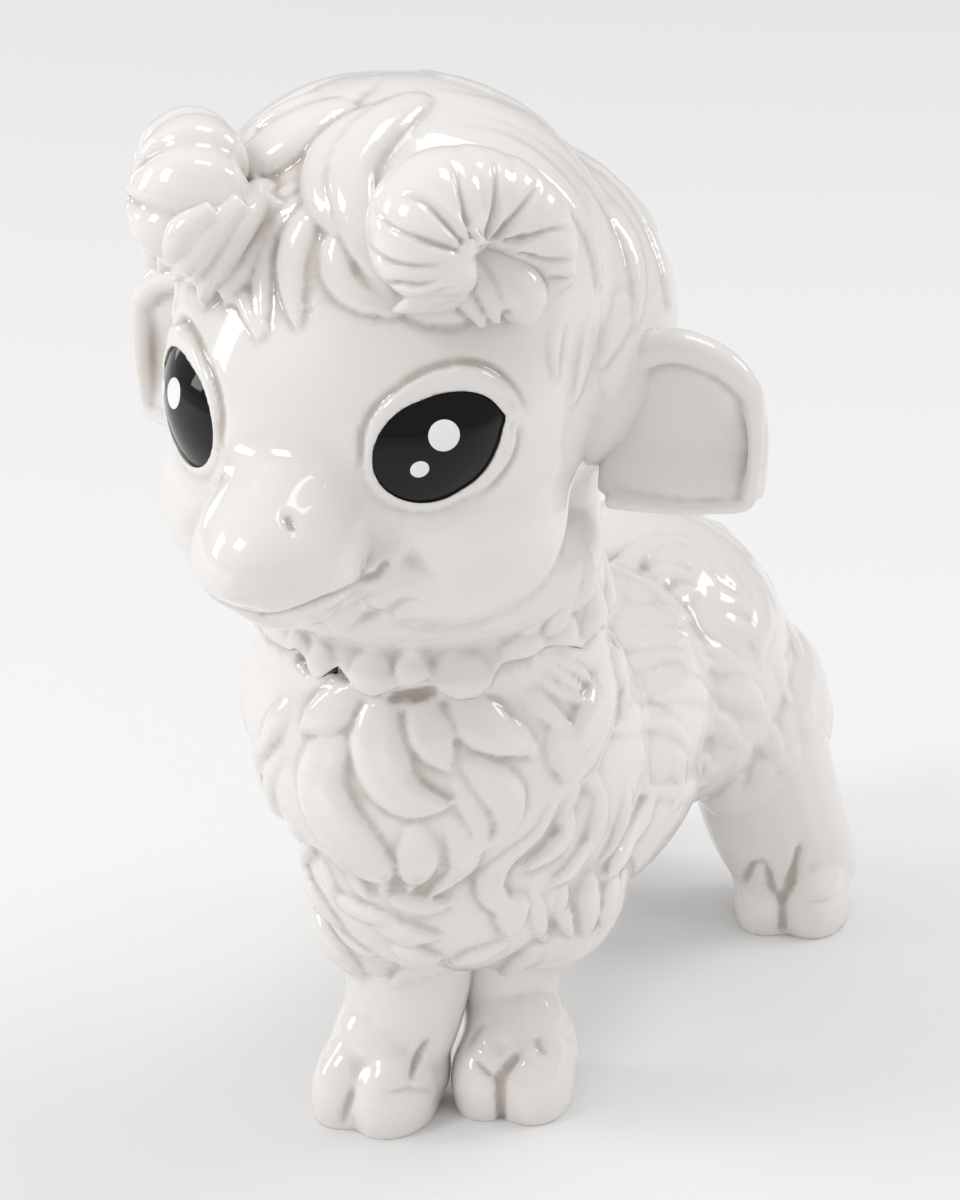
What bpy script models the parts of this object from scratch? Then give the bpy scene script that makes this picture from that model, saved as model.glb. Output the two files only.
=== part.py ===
"""A lidded goat figurine in white glazed earthenware, modelled at its real size in metres.

The goat faces -Y, its left side is +X, and it stands on z = 0. The head is a lid: its collar of
curls covers the neck of the hollow body, and a ring under it drops into the neck's mouth. Legs,
tail, horns and ears are cast in moulds of their own and luted on. The black eye glaze and its
white dots are thin inlays.
"""

import math

import bmesh
import bpy
from mathutils import Euler, Matrix, Vector
from mathutils.bvhtree import BVHTree

# Gaps between touching pieces, and the grain of the modelled clay. FAR is well outside the goat.
JOINT_GAP = 0.0003
BASE_VOXEL = 0.0028
CLAY_VOXEL = 0.0022
FINE_VOXEL = 0.0012
FAR = 0.2
OVERLAP = 0.001

# The neck and the ring under the head that drops into it.
NECK_BACK = -0.041
NECK_TOP = 0.1405
NECK_RADIUS = 0.0365
NECK_FOOT_RADIUS = 0.0380
NECK_HEIGHT = 0.0100
NECK_FOOT = NECK_TOP - NECK_HEIGHT
MOUTH_RADIUS = 0.0300
MOUTH_FLOOR = 0.0950
RING_CLEARANCE = 0.0010
RING_WALL = 0.0045
RING_DEPTH = 0.0120
# The mass of the withers carries the neck.
WITHERS_DROP = 0.0145
WITHERS_RADII = (0.0455, 0.0455, 0.0340)

# The body is blended from these masses: centre and radii.
BODY_MASSES = [
    ((0.0, -0.046, 0.105), (0.0385, 0.0410, 0.0320)),
    ((0.0, -0.033, 0.080), (0.0345, 0.0360, 0.0390)),
    ((0.0, -0.010, 0.087), (0.0390, 0.0440, 0.0400)),
    ((0.0, 0.030, 0.081), (0.0380, 0.0560, 0.0375)),
    ((0.0, NECK_BACK, NECK_FOOT - WITHERS_DROP), WITHERS_RADII),
    ((0.0, 0.026, 0.066), (0.0370, 0.0560, 0.0300)),
    ((0.0, 0.082, 0.077), (0.0415, 0.0430, 0.0405)),
    ((0.0260, 0.104, 0.056), (0.0195, 0.0250, 0.0290)),
    ((-0.0260, 0.094, 0.056), (0.0195, 0.0250, 0.0290)),
    ((0.0190, -0.008, 0.058), (0.0170, 0.0240, 0.0240)),
    ((-0.0160, -0.031, 0.060), (0.0195, 0.0190, 0.0220)),
]
CAVITY_MASSES = [
    ((0.0, -0.038, 0.098), (0.0270, 0.0310, 0.0290)),
    ((0.0, 0.020, 0.087), (0.0270, 0.0600, 0.0260)),
    ((0.0, 0.078, 0.083), (0.0310, 0.0340, 0.0280)),
]

# The head: skull, wool cap, cheeks, muzzle, chin and the collar of curls under them.
HEAD_MASSES = [
    ((0.0, -0.067, 0.203), (0.0495, 0.0520, 0.0510)),
    ((0.0, -0.058, 0.224), (0.0500, 0.0500, 0.0480)),
    ((0.0, -0.033, 0.210), (0.0580, 0.0480, 0.0470)),
    ((0.0200, -0.078, 0.177), (0.0290, 0.0300, 0.0260)),
    ((-0.0200, -0.078, 0.177), (0.0290, 0.0300, 0.0260)),
    ((0.0, -0.040, 0.172), (0.0390, 0.0400, 0.0280)),
]
# The muzzle, the two sides of its tip, the bridge of the nose and the chin: centre, radii, and pitch in
# degrees.
FACE_MASSES = [
    ((0.0, -0.115, 0.1870), (0.0205, 0.0320, 0.0155), 13),
    ((0.0080, -0.122, 0.1815), (0.0135, 0.0160, 0.0130), 0),
    ((-0.0080, -0.122, 0.1815), (0.0135, 0.0160, 0.0130), 0),
    ((0.0, -0.106, 0.1970), (0.0200, 0.0270, 0.0130), 32),
    ((0.0, -0.107, 0.1720), (0.0165, 0.0245, 0.0095), 14),
]
HOLLOW_CENTRE = (0.0, -0.052, 0.203)
HOLLOW_RADII = (0.0420, 0.0430, 0.0430)
COLLAR_LOBES = 18
COLLAR_RADIUS = 0.0425
LOBE_RADII = (0.0066, 0.0052, 0.0120)
LOBE_HEIGHT = 0.1460
LOBE_STAGGER = 0.0020
COLLAR_CLEARANCE = 0.0012
COLLAR_DROP = 0.0085
COLLAR_FOOT = NECK_TOP - COLLAR_DROP
THROAT_TOP = 0.1760

# Locks of the forehead: start, middle and tip as turn and lean in degrees about the skull, and the width.
SKULL = (0.0, -0.050, 0.212)
HAIR_LOCKS = [
    ((-17, 24), (-32, 45), (-37, 60), 0.0135),
    ((-40, 15), (-43, 27), (-55, 38), 0.0075),
    ((-6, 40), (-16, 61), (-7, 77), 0.0110),
    ((-1, 42), (-3, 62), (0, 75), 0.0090),
    ((-29, 55), (-32, 66), (-30, 75), 0.0075),
    ((3, 23), (-5, 45), (7, 64), 0.0090),
    ((30, 19), (9, 54), (22, 70), 0.0110),
    ((20, 68), (29, 67), (39, 72), 0.0100),
    ((42, 55), (51, 68), (54, 74), 0.0110),
    ((81, 69), (74, 84), (68, 97), 0.0080),
    ((95, 73), (87, 83), (82, 93), 0.0080),
    ((15, 24), (60, 42), (81, 73), 0.0095),
    ((18, 14), (90, 48), (93, 84), 0.0105),
    ((60, 12), (120, 52), (106, 85), 0.0100),
]
# Rows of locks behind them: how far each row leans from upright, in degrees, and how many there would be
# all the way round.
HAIR_ROWS = [(10, 9), (32, 12), (56, 14), (80, 14), (102, 12)]
ROW_CENTRE = (0.0, -0.046, 0.214)
ROW_RADIUS = 0.056
ROW_REACH = 0.034
ROW_WIDTH = 0.0135
ROW_FRONT = -0.062
# How deep a lock of each kind lies in the skin, as a share of its own radius.
HAIR_SINK = 0.40
CHEST_SINK = 0.28
FLANK_SINK = 0.62
# How wide a lock is along its length, as a share of its full width.
LOCK_SHAPE = [0.44, 0.85, 1.0, 0.88, 0.62, 0.36, 0.16]

# Eyes: black glaze lentils, each with two white dots: along the eye, up it, and the radius. The dots stand in
# for light from one side, so on the right eye they keep their order instead of being mirrored.
EYE_PLACE = (0.0315, -0.1050, 0.2045)
EYE_RADII = (0.0174, 0.0124, 0.0050)
EYE_YAW = math.radians(53)
EYE_PITCH = math.radians(4)
EYE_ROLL = math.radians(-18)
DOTS = {
    "large_glint": (0.0001, 0.0043, 0.0036),
    "small_glint": (-0.0084, -0.0011, 0.0020),
}
DOT_DEPTH = 0.0009
DOT_SINK = 0.0002
# Segments and rings of the lentils.
EYE_GRAIN = (18, 10)
DOT_GRAIN = (10, 6)

# Horns: a ribbed coil on each side of the forehead.
HORN_HUB = (0.0385, -0.0950, 0.2475)
HORN_FACING = (0.74, -0.60, 0.28)
HORN_COIL = 0.0125
HORN_SPREAD = 0.0050
HORN_TUBE = 0.0120
HORN_TIP = 0.0070
HORN_START = math.radians(198)
HORN_SWEEP = math.radians(-225)
HORN_ROOT = 0.0140
HORN_TUCK = 0.0120
HORN_TILT = 0.004
HORN_STEPS = 6
HORN_RIBS = 11
RIB_DEPTH = 0.14

# Ears: a thick flap that stands out sideways, sweeps back to its tip and is hollowed at the front.
EAR_ROOT = (0.0440, -0.0420, 0.1900)
EAR_TIP = (0.0833, -0.0385, 0.1880)
EAR_HEIGHT = 0.0460
EAR_THICKNESS = 0.0085
EAR_HOLLOW = 0.0045
EAR_SWING = 0.012
EAR_CORNERS = 0.10

# Legs: where each hoof stands, its toe-out angle in degrees, where the leg meets the hip, its radius.
LEGS = {
    "front_left_leg": ((0.0116, -0.0150), 12, (0.0116, -0.0125, 0.070), 0.0140),
    "front_right_leg": ((-0.0148, -0.0345), -4, (-0.0145, -0.0330, 0.070), 0.0145),
    "hind_left_leg": ((0.0350, 0.1130), 14, (0.0270, 0.1000, 0.062), 0.0162),
    "hind_right_leg": ((-0.0345, 0.0990), -14, (-0.0270, 0.0900, 0.062), 0.0162),
}
CLAW_RADII = (0.0098, 0.0152, 0.0145)
CLAW_SPREAD = 0.0056
HEEL_RADII = (0.0135, 0.0130, 0.0150)
CLAW_FORWARD = 0.0045
CLAW_HEIGHT = 0.006
CLAW_TURN = 7
HEEL_BACK = 0.004
HEEL_HEIGHT = 0.010
ANKLE_HEIGHT = 0.014

TAIL_ROOT = (0.0, 0.1290, 0.0900)
TAIL_TIP = (0.0, 0.1418, 0.0740)
TAIL_ARCH = Vector((0.0, 0.004, 0.006))
TAIL_RADII = [0.006, 0.0075, 0.0085, 0.0045]

# Finishes: colour and roughness.
FINISHES = {
    "white_glaze": ((0.86, 0.845, 0.83, 1.0), 0.08),
    "black_glaze": ((0.012, 0.012, 0.013, 1.0), 0.05),
    "white_enamel": ((0.88, 0.88, 0.87, 1.0), 0.12),
}

# Locks of the chest: start, middle and tip as turn in degrees about the neck and height, and the width.
CHEST_CENTRE = (0.0, -0.035)
CHEST_LOCKS = [
    ((-11, 0.120), (0, 0.097), (1, 0.076), 0.0135),
    ((9, 0.129), (10, 0.112), (24, 0.105), 0.0130),
    ((20, 0.129), (24, 0.116), (28, 0.109), 0.0105),
    ((32, 0.117), (42, 0.104), (39, 0.091), 0.0110),
    ((17, 0.104), (19, 0.088), (9, 0.076), 0.0105),
    ((26, 0.103), (34, 0.088), (23, 0.075), 0.0080),
    ((61, 0.099), (42, 0.079), (58, 0.067), 0.0095),
    ((52, 0.080), (58, 0.066), (50, 0.061), 0.0090),
    ((77, 0.098), (82, 0.079), (64, 0.076), 0.0085),
    ((109, 0.091), (112, 0.069), (88, 0.063), 0.0085),
    ((123, 0.087), (124, 0.066), (117, 0.060), 0.0080),
    ((63, 0.074), (69, 0.062), (80, 0.048), 0.0075),
    ((111, 0.067), (113, 0.058), (114, 0.046), 0.0080),
    ((30, 0.130), (45, 0.120), (54, 0.114), 0.0110),
    ((56, 0.123), (61, 0.115), (80, 0.100), 0.0115),
    ((-18, 0.129), (-23, 0.120), (-28, 0.111), 0.0090),
    ((-23, 0.114), (-36, 0.096), (-45, 0.078), 0.0085),
    ((24, 0.065), (6, 0.059), (-20, 0.052), 0.0095),
    ((36, 0.075), (24, 0.073), (5, 0.070), 0.0080),
    ((68, 0.057), (49, 0.056), (33, 0.052), 0.0080),
    ((-10, 0.090), (-14, 0.077), (-6, 0.069), 0.0080),
]
FAR_CHEST_ROWS = [0.122, 0.106, 0.090, 0.074, 0.060]
FAR_CHEST_COLUMNS = 4
FAR_CHEST_REACH = 0.032
RUFF_TUFTS = 9
RUFF_TOP = NECK_FOOT - 0.0015
RUFF_REACH = 0.026
CHEST_WIDTH = 0.0115
# Locks of the flanks: columns along the back, rows down the side, and where the first of them starts.
FLANK_COLUMNS = 7
FLANK_ROWS = 4
FLANK_START = (0.010, 0.112)
FLANK_STEP = (0.0175, 0.0155)
FLANK_STAGGER = 0.004
FLANK_REACH = 0.024
FLANK_WIDTH = 0.0100

# Most triangles that each blended piece keeps.
BUDGET = {"body": 3300, "head": 3700, "leg": 330, "tail": 130, "ear": 260, "horn": 580, "cavity": 420}


def clear_scene():
    for old in list(bpy.data.objects):
        bpy.data.objects.remove(old, do_unlink=True)


def new_collection(name, hidden):
    group = bpy.data.collections.new(name)
    group.hide_render = hidden
    bpy.context.scene.collection.children.link(group)
    return group


def finish(name):
    colour, roughness = FINISHES[name]
    material = bpy.data.materials.new(name)
    material.use_nodes = True
    shader = material.node_tree.nodes["Principled BSDF"]
    shader.inputs["Base Color"].default_value = colour
    shader.inputs["Roughness"].default_value = roughness
    return material


def from_bmesh(shape, name):
    bmesh.ops.recalc_face_normals(shape, faces=shape.faces)
    mesh = bpy.data.meshes.new(name)
    shape.to_mesh(mesh)
    shape.free()
    thing = bpy.data.objects.new(name, mesh)
    WORKSHOP.objects.link(thing)
    thing.hide_render = True
    thing.display_type = "WIRE"
    return thing


def ball(centre, radii, turn=Euler(), segments=32, rings=20):
    shape = bmesh.new()
    bmesh.ops.create_uvsphere(shape, u_segments=segments, v_segments=rings, radius=1.0)
    place = Matrix.Translation(centre) @ turn.to_matrix().to_4x4() @ Matrix.Diagonal((*radii, 1.0))
    bmesh.ops.transform(shape, matrix=place, verts=shape.verts)
    return from_bmesh(shape, "ball")


def cone(centre, low_radius, high_radius, low, high, segments=48):
    """A round bar along Z, from one height and radius to another."""
    shape = bmesh.new()
    bmesh.ops.create_cone(
        shape, cap_ends=True, segments=segments, radius1=low_radius, radius2=high_radius, depth=high - low
    )
    middle = Vector((centre[0], centre[1], (low + high) / 2))
    bmesh.ops.translate(shape, vec=middle, verts=shape.verts)
    return from_bmesh(shape, "cone")


def box(low, high):
    shape = bmesh.new()
    bmesh.ops.create_cube(shape, size=1.0)
    size = Vector(high) - Vector(low)
    place = Matrix.Translation((Vector(low) + Vector(high)) / 2) @ Matrix.Diagonal((*size, 1.0))
    bmesh.ops.transform(shape, matrix=place, verts=shape.verts)
    return from_bmesh(shape, "box")


def cord(points, radii, sides=8):
    """A closed tube through the points, as thick at each as its radius says."""
    curve = bpy.data.curves.new("cord", "CURVE")
    curve.dimensions = "3D"
    curve.bevel_depth = 1.0
    curve.bevel_resolution = max(0, sides // 4 - 1)
    curve.use_fill_caps = True
    curve.resolution_u = 3
    line = curve.splines.new("NURBS")
    line.points.add(len(points) - 1)
    line.use_endpoint_u = True
    line.order_u = 3
    for slot, point, radius in zip(line.points, points, radii):
        slot.co = (*point, 1.0)
        slot.radius = radius
    holder = bpy.data.objects.new("cord", curve)
    WORKSHOP.objects.link(holder)
    solid = frozen(holder)
    shape = bmesh.new()
    shape.from_mesh(solid.data)
    bmesh.ops.remove_doubles(shape, verts=shape.verts, dist=1e-6)
    bpy.data.objects.remove(solid, do_unlink=True)
    return from_bmesh(shape, "cord")


def frozen(thing):
    """The object with its modifiers made real. The original goes."""
    graph = bpy.context.evaluated_depsgraph_get()
    graph.update()
    mesh = bpy.data.meshes.new_from_object(thing.evaluated_get(graph), depsgraph=graph)
    mesh.transform(thing.matrix_world)
    name = thing.name
    bpy.data.objects.remove(thing, do_unlink=True)
    made = bpy.data.objects.new(name, mesh)
    WORKSHOP.objects.link(made)
    made.hide_render = True
    return made


def heap(things):
    """Several closed shapes as the loose shells of one object."""
    shape = bmesh.new()
    for thing in things:
        shape.from_mesh(thing.data)
        bpy.data.objects.remove(thing, do_unlink=True)
    return from_bmesh(shape, "heap")


def modelled(thing, voxel, strokes):
    """Runs the shells together into one skin and smooths it."""
    grain = thing.modifiers.new("Remesh", "REMESH")
    grain.mode = "VOXEL"
    grain.voxel_size = voxel
    soften = thing.modifiers.new("Smooth", "SMOOTH")
    soften.factor = 0.5
    soften.iterations = strokes
    return frozen(thing)


def thinned(thing, most):
    faces = sum(len(face.vertices) - 2 for face in thing.data.polygons)
    if faces > most:
        fewer = thing.modifiers.new("Decimate", "DECIMATE")
        fewer.ratio = most / faces
        fewer.use_collapse_triangulate = True
    return frozen(thing)


def combined(thing, other, operation):
    """One exact Boolean, made real at once. The other shape stays in the workshop."""
    step = thing.modifiers.new(operation, "BOOLEAN")
    step.operation = operation
    step.solver = "EXACT"
    step.object = other
    bpy.context.view_layer.update()
    return frozen(thing)


def cut(thing, other):
    return combined(thing, other, "DIFFERENCE")


def add(thing, other):
    return combined(thing, other, "UNION")


def swollen(thing, gap):
    """A copy of the shape grown by the gap, to cut a fitting face on what is luted to it."""
    shape = bmesh.new()
    shape.from_mesh(thing.data)
    shape.normal_update()
    for corner in shape.verts:
        corner.co += corner.normal * corner.calc_shell_factor() * gap
    return from_bmesh(shape, "swollen")


def largest(thing):
    """The biggest loose shell of the shape, without the crumbs that a cut can leave."""
    shape = bmesh.new()
    shape.from_mesh(thing.data)
    todo = set(shape.verts)
    best = set()
    while todo:
        front = [todo.pop()]
        shell = set(front)
        while front:
            for edge in front.pop().link_edges:
                for corner in edge.verts:
                    if corner not in shell:
                        shell.add(corner)
                        front.append(corner)
        todo -= shell
        if len(shell) > len(best):
            best = shell
    bmesh.ops.delete(shape, geom=[corner for corner in shape.verts if corner not in best], context="VERTS")
    bpy.data.objects.remove(thing, do_unlink=True)
    return from_bmesh(shape, "shell")


def luted(piece, host):
    """The piece with a face cut on it that fits the host, one joint's gap away."""
    return largest(cut(piece, host))


def mirrored(thing):
    """A copy on the other side of the plane x = 0."""
    shape = bmesh.new()
    shape.from_mesh(thing.data)
    bmesh.ops.scale(shape, vec=(-1, 1, 1), verts=shape.verts)
    bmesh.ops.reverse_faces(shape, faces=shape.faces)
    return from_bmesh(shape, thing.name)


def surface(thing):
    shape = bmesh.new()
    shape.from_mesh(thing.data)
    tree = BVHTree.FromBMesh(shape)
    shape.free()
    return tree


def sunk_lock(points, normals, width, sink):
    """A tapered roll of clay along the points, sunk in the skin by a share of its own radius."""
    radii = [width / 2 * share for share in LOCK_SHAPE]
    return cord([p - n * r * sink for p, n, r in zip(points, normals, radii)], radii)


def creeping_lock(skin, start, flow, length, width, curl, sink):
    """A lock that creeps over the skin from a start point, turning by curl and back as it goes."""
    place, normal, _, _ = skin.find_nearest(start)
    heading = Vector(flow)
    steps = len(LOCK_SHAPE) - 1
    points = []
    normals = []
    for step in range(steps + 1):
        points.append(place)
        normals.append(normal)
        heading = heading - normal * heading.dot(normal)
        heading.normalize()
        heading.rotate(Matrix.Rotation(curl * math.cos(math.pi * step / steps), 3, normal))
        place, normal, _, _ = skin.find_nearest(place + heading * length / steps)
    return sunk_lock(points, normals, width, sink)


def bowed(start, middle, tip, share):
    """The value at this share of a bow that passes through three pairs."""
    early = (1 - share) * (1 - 2 * share)
    late = share * (2 * share - 1)
    half = 4 * share * (1 - share)
    return [a * early + b * half + c * late for a, b, c in zip(start, middle, tip)]


def placed_lock(skin, guide, start, middle, tip, width, sink):
    """A lock through three places, each a pair of numbers that the guide turns into a point off the skin."""
    points = []
    normals = []
    for step in range(len(LOCK_SHAPE)):
        share = step / (len(LOCK_SHAPE) - 1)
        place, normal, _, _ = skin.find_nearest(guide(*bowed(start, middle, tip, share)))
        points.append(place)
        normals.append(normal)
    return sunk_lock(points, normals, width, sink)


def on_skull(turn, lean):
    """A point off the skull at this compass turn (0 is the front, 90 the left side) and lean from upright."""
    turn = math.radians(turn)
    lean = math.radians(lean)
    way = Vector((math.sin(turn) * math.sin(lean), -math.cos(turn) * math.sin(lean), math.cos(lean)))
    return Vector(SKULL) + way * (ROW_RADIUS + 0.006)


def on_chest(turn, height):
    """A point off the chest at this compass turn and height."""
    turn = math.radians(turn)
    return Vector((*CHEST_CENTRE, height)) + Vector((math.sin(turn), -math.cos(turn), 0.0)) * 0.048


def node(thing, name, material, carrier=None):
    """Puts a finished piece in the goat's own collection, on the stand or on the lid's empty."""
    thing.name = name
    thing.data.name = name
    thing.hide_render = False
    thing.display_type = "TEXTURED"
    WORKSHOP.objects.unlink(thing)
    GOAT.objects.link(thing)
    thing.data.materials.clear()
    thing.data.materials.append(material)
    thing.parent = carrier or STAND
    thing.matrix_parent_inverse = thing.parent.matrix_world.inverted()
    return thing


def make_body_skin():
    base = modelled(heap([ball(centre, radii) for centre, radii in BODY_MASSES]), BASE_VOXEL, 14)
    skin = surface(base)
    locks = [placed_lock(skin, on_chest, *places, CHEST_SINK) for places in CHEST_LOCKS]
    down = Vector((0.0, 0.0, -1.0))
    for row, height in enumerate(FAR_CHEST_ROWS):
        for column in range(FAR_CHEST_COLUMNS):
            start = on_chest(-62 - 22 * (column + 0.5 * (row % 2)), height)
            curl = 0.5 if (row + column) % 2 else -0.5
            flow = (0.2, 0.1, -1.0)
            locks.append(creeping_lock(skin, start, flow, FAR_CHEST_REACH, CHEST_WIDTH, curl, CHEST_SINK))
    for side in (-1, 1):
        for column in range(FLANK_COLUMNS):
            for row in range(FLANK_ROWS):
                height = FLANK_START[1] - FLANK_STEP[1] * row + FLANK_STAGGER * (column % 2)
                start = Vector((side * FAR, FLANK_START[0] + FLANK_STEP[0] * column, height))
                curl = 0.5 if (row + column) % 2 else -0.5
                flow = (0.0, 0.8, -0.5)
                locks.append(creeping_lock(skin, start, flow, FLANK_REACH, FLANK_WIDTH, curl, FLANK_SINK))
    for tuft in range(RUFF_TUFTS):
        turn = math.radians(88 + 170 * tuft / (RUFF_TUFTS - 1))
        way = Vector((math.sin(turn), -math.cos(turn), 0.0))
        start = Vector((0.0, NECK_BACK, RUFF_TOP)) + way * FAR
        curl = 0.4 if tuft % 2 else -0.4
        locks.append(creeping_lock(skin, start, way * 0.7 + down, RUFF_REACH, CHEST_WIDTH, curl, CHEST_SINK))
    return modelled(heap([base] + locks), CLAY_VOXEL, 1)


def make_leg(foot, toe, hip, thick):
    foot = Vector((*foot, 0.0))
    hip = Vector(hip)
    facing = Matrix.Rotation(math.radians(toe), 3, "Z")
    shapes = []
    for side in (-1, 1):
        place = foot + facing @ Vector((side * CLAW_SPREAD, -CLAW_FORWARD, CLAW_HEIGHT))
        shapes.append(ball(place, CLAW_RADII, Euler((0.0, 0.0, math.radians(toe + side * CLAW_TURN)))))
    shapes.append(ball(foot + facing @ Vector((0.0, HEEL_BACK, HEEL_HEIGHT)), HEEL_RADII))
    ankle = foot + facing @ Vector((0.0, HEEL_BACK, ANKLE_HEIGHT))
    shapes.append(cord([ankle, (ankle * 2 + hip) / 3, hip], [thick * 0.9, thick * 0.95, thick], 24))
    solid = thinned(modelled(heap(shapes), FINE_VOXEL, 5), BUDGET["leg"])
    return cut(solid, box((-FAR, -FAR, -FAR), (FAR, FAR, 0.0)))


def make_tail():
    root = Vector(TAIL_ROOT)
    tip = Vector(TAIL_TIP)
    inside = root - Vector((0.0, 0.012, 0.0))
    line = cord([inside, root, (root + tip) / 2 + TAIL_ARCH, tip], TAIL_RADII)
    return thinned(modelled(line, FINE_VOXEL, 4), BUDGET["tail"])


def make_head_skin():
    shapes = [ball(centre, radii) for centre, radii in HEAD_MASSES]
    for centre, radii, pitch in FACE_MASSES:
        shapes.append(ball(centre, radii, Euler((math.radians(pitch), 0.0, 0.0))))
    base = modelled(heap(shapes), BASE_VOXEL, 11)
    skin = surface(base)
    locks = [placed_lock(skin, on_skull, *places, HAIR_SINK) for places in HAIR_LOCKS]
    for lean, count in HAIR_ROWS:
        rise = Vector((0.0, 0.0, math.cos(math.radians(lean))))
        for column in range(count):
            turn = math.radians(-178 + 356 * (column + 0.5 * (lean % 3)) / count)
            way = Vector((math.sin(turn), -math.cos(turn), 0.0))
            start = Vector(ROW_CENTRE) + (way * math.sin(math.radians(lean)) + rise) * ROW_RADIUS
            hidden = way.x <= -0.2 or start.y >= -0.020
            if hidden and start.y > ROW_FRONT:
                flow = (way.x, way.y, -0.9)
                curl = 0.4 if column % 2 else -0.35
                locks.append(creeping_lock(skin, start, flow, ROW_REACH, ROW_WIDTH, curl, HAIR_SINK))
    for lobe in range(COLLAR_LOBES):
        turn = 2 * math.pi * (lobe + 0.5) / COLLAR_LOBES
        way = Vector((math.sin(turn), -math.cos(turn), 0.0))
        height = LOBE_HEIGHT + LOBE_STAGGER * math.sin(2.5 * lobe)
        place = Vector((0.0, NECK_BACK, height)) + way * COLLAR_RADIUS
        locks.append(ball(place, LOBE_RADII, Euler((0.0, 0.0, turn)), 16, 12))
    throat = cone((0.0, NECK_BACK), COLLAR_RADIUS, NECK_RADIUS, NECK_TOP, THROAT_TOP)
    return modelled(heap([base, throat] + locks), CLAY_VOXEL, 1)


def make_ear():
    """The left ear: a rounded slab from the root to the tip, hollowed in front and a little behind."""
    shape = bmesh.new()
    bmesh.ops.create_cube(shape, size=2.0)
    bmesh.ops.subdivide_edges(shape, edges=shape.edges, cuts=9, use_grid_fill=True)
    root = Vector(EAR_ROOT)
    tip = Vector(EAR_TIP)
    along = (tip - root).normalized()
    up = Vector((0.0, 0.0, 1.0))
    front = along.cross(up).normalized()
    for corner in shape.verts:
        u, v, w = corner.co
        round_off = (1 - EAR_CORNERS * u * u * v * v) * (1 - EAR_CORNERS / 2 * v * v)
        thick = EAR_THICKNESS / 2 * (1 - 0.35 * max(abs(u), abs(v)) ** 4)
        hollow = EAR_HOLLOW * (1 - 0.6 * u * u) * (1 - v * v) * (1.0 if w > 0 else 0.55)
        swing = EAR_SWING * ((u + 1) / 2) ** 2
        outward = (tip - root).length * (u + 1) / 2 * round_off
        height = EAR_HEIGHT / 2 * v * round_off * (1 + 0.05 * u)
        corner.co = root + along * outward + up * height + front * (w * thick - hollow - swing)
    solid = modelled(from_bmesh(shape, "ear"), FINE_VOXEL, 6)
    return thinned(solid, BUDGET["ear"])


def make_horn():
    """The left horn: a ribbed tube coiled round the hub, its root and its tip tucked into the hair."""
    facing = Vector(HORN_FACING).normalized()
    across = Vector((0.0, 0.0, 1.0)).cross(facing).normalized()
    upward = facing.cross(across)
    hub = Vector(HORN_HUB)
    points = []
    radii = []
    steps = HORN_RIBS * HORN_STEPS
    for step in range(steps + 1):
        share = step / steps
        turn = HORN_START + HORN_SWEEP * share
        taper = HORN_TUBE + (HORN_TIP - HORN_TUBE) * share ** 1.4
        coil = HORN_COIL + HORN_SPREAD * share
        point = hub + (across * math.cos(turn) + upward * math.sin(turn)) * coil
        points.append(point + facing * HORN_TILT * (1 - 2 * share))
        radii.append(taper * (1 - RIB_DEPTH * abs(math.cos(math.pi * HORN_RIBS * share)) ** 6))
    inward = (Vector(HEAD_MASSES[0][0]) - hub).normalized()
    low = points[0]
    end = points[-1]
    root = cord([low + inward * HORN_ROOT, low + inward * HORN_ROOT / 7, low], [radii[0]] * 3, 16)
    tuck = cord([end, end + inward * HORN_TUCK / 2, end + inward * HORN_TUCK], [HORN_TIP] * 3)
    ends = [ball(low, (radii[0] * 1.02,) * 3), ball(end, (radii[-1],) * 3)]
    solid = modelled(heap([cord(points, radii, 16), root, tuck] + ends), FINE_VOXEL, 1)
    return thinned(solid, BUDGET["horn"])


def eye_frame():
    """The left eye's own axes: x along its length, y up its face, z out of the face."""
    level_look = Vector((math.sin(EYE_YAW), -math.cos(EYE_YAW), 0.0))
    look = level_look * math.cos(EYE_PITCH) + Vector((0.0, 0.0, math.sin(EYE_PITCH)))
    level = Vector((0.0, 0.0, 1.0)).cross(look).normalized()
    upward = look.cross(level)
    turn = Matrix((level, upward, look)).transposed().to_4x4()
    return Matrix.Translation(EYE_PLACE) @ turn @ Matrix.Rotation(-EYE_ROLL, 4, "Z")


def lentil(frame, radii, segments, rings):
    shape = bmesh.new()
    bmesh.ops.create_uvsphere(shape, u_segments=segments, v_segments=rings, radius=1.0)
    bmesh.ops.transform(shape, matrix=frame @ Matrix.Diagonal((*radii, 1.0)), verts=shape.verts)
    return from_bmesh(shape, "lentil")


clear_scene()
GOAT = new_collection("goat_figurine", False)
WORKSHOP = new_collection("workshop", True)
STAND = bpy.data.objects.new("stand", None)
GOAT.objects.link(STAND)
LID = bpy.data.objects.new("head_lift", None)
GOAT.objects.link(LID)
LID.location = (0.0, NECK_BACK, NECK_TOP)
bpy.context.view_layer.update()
WHITE = finish("white_glaze")
BLACK = finish("black_glaze")
ENAMEL = finish("white_enamel")

# The body: a solid skin first, which the legs and the tail are fitted to.
body = thinned(make_body_skin(), BUDGET["body"])
body = cut(body, box((-FAR, -FAR, NECK_FOOT), (FAR, FAR, FAR)))
body = add(body, cone((0.0, NECK_BACK), NECK_FOOT_RADIUS, NECK_RADIUS, NECK_FOOT - OVERLAP, NECK_TOP))
grown_body = swollen(body, JOINT_GAP)
for name, leg in LEGS.items():
    node(luted(make_leg(*leg), grown_body), name, WHITE)
node(luted(make_tail(), grown_body), "tail", WHITE)

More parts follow.
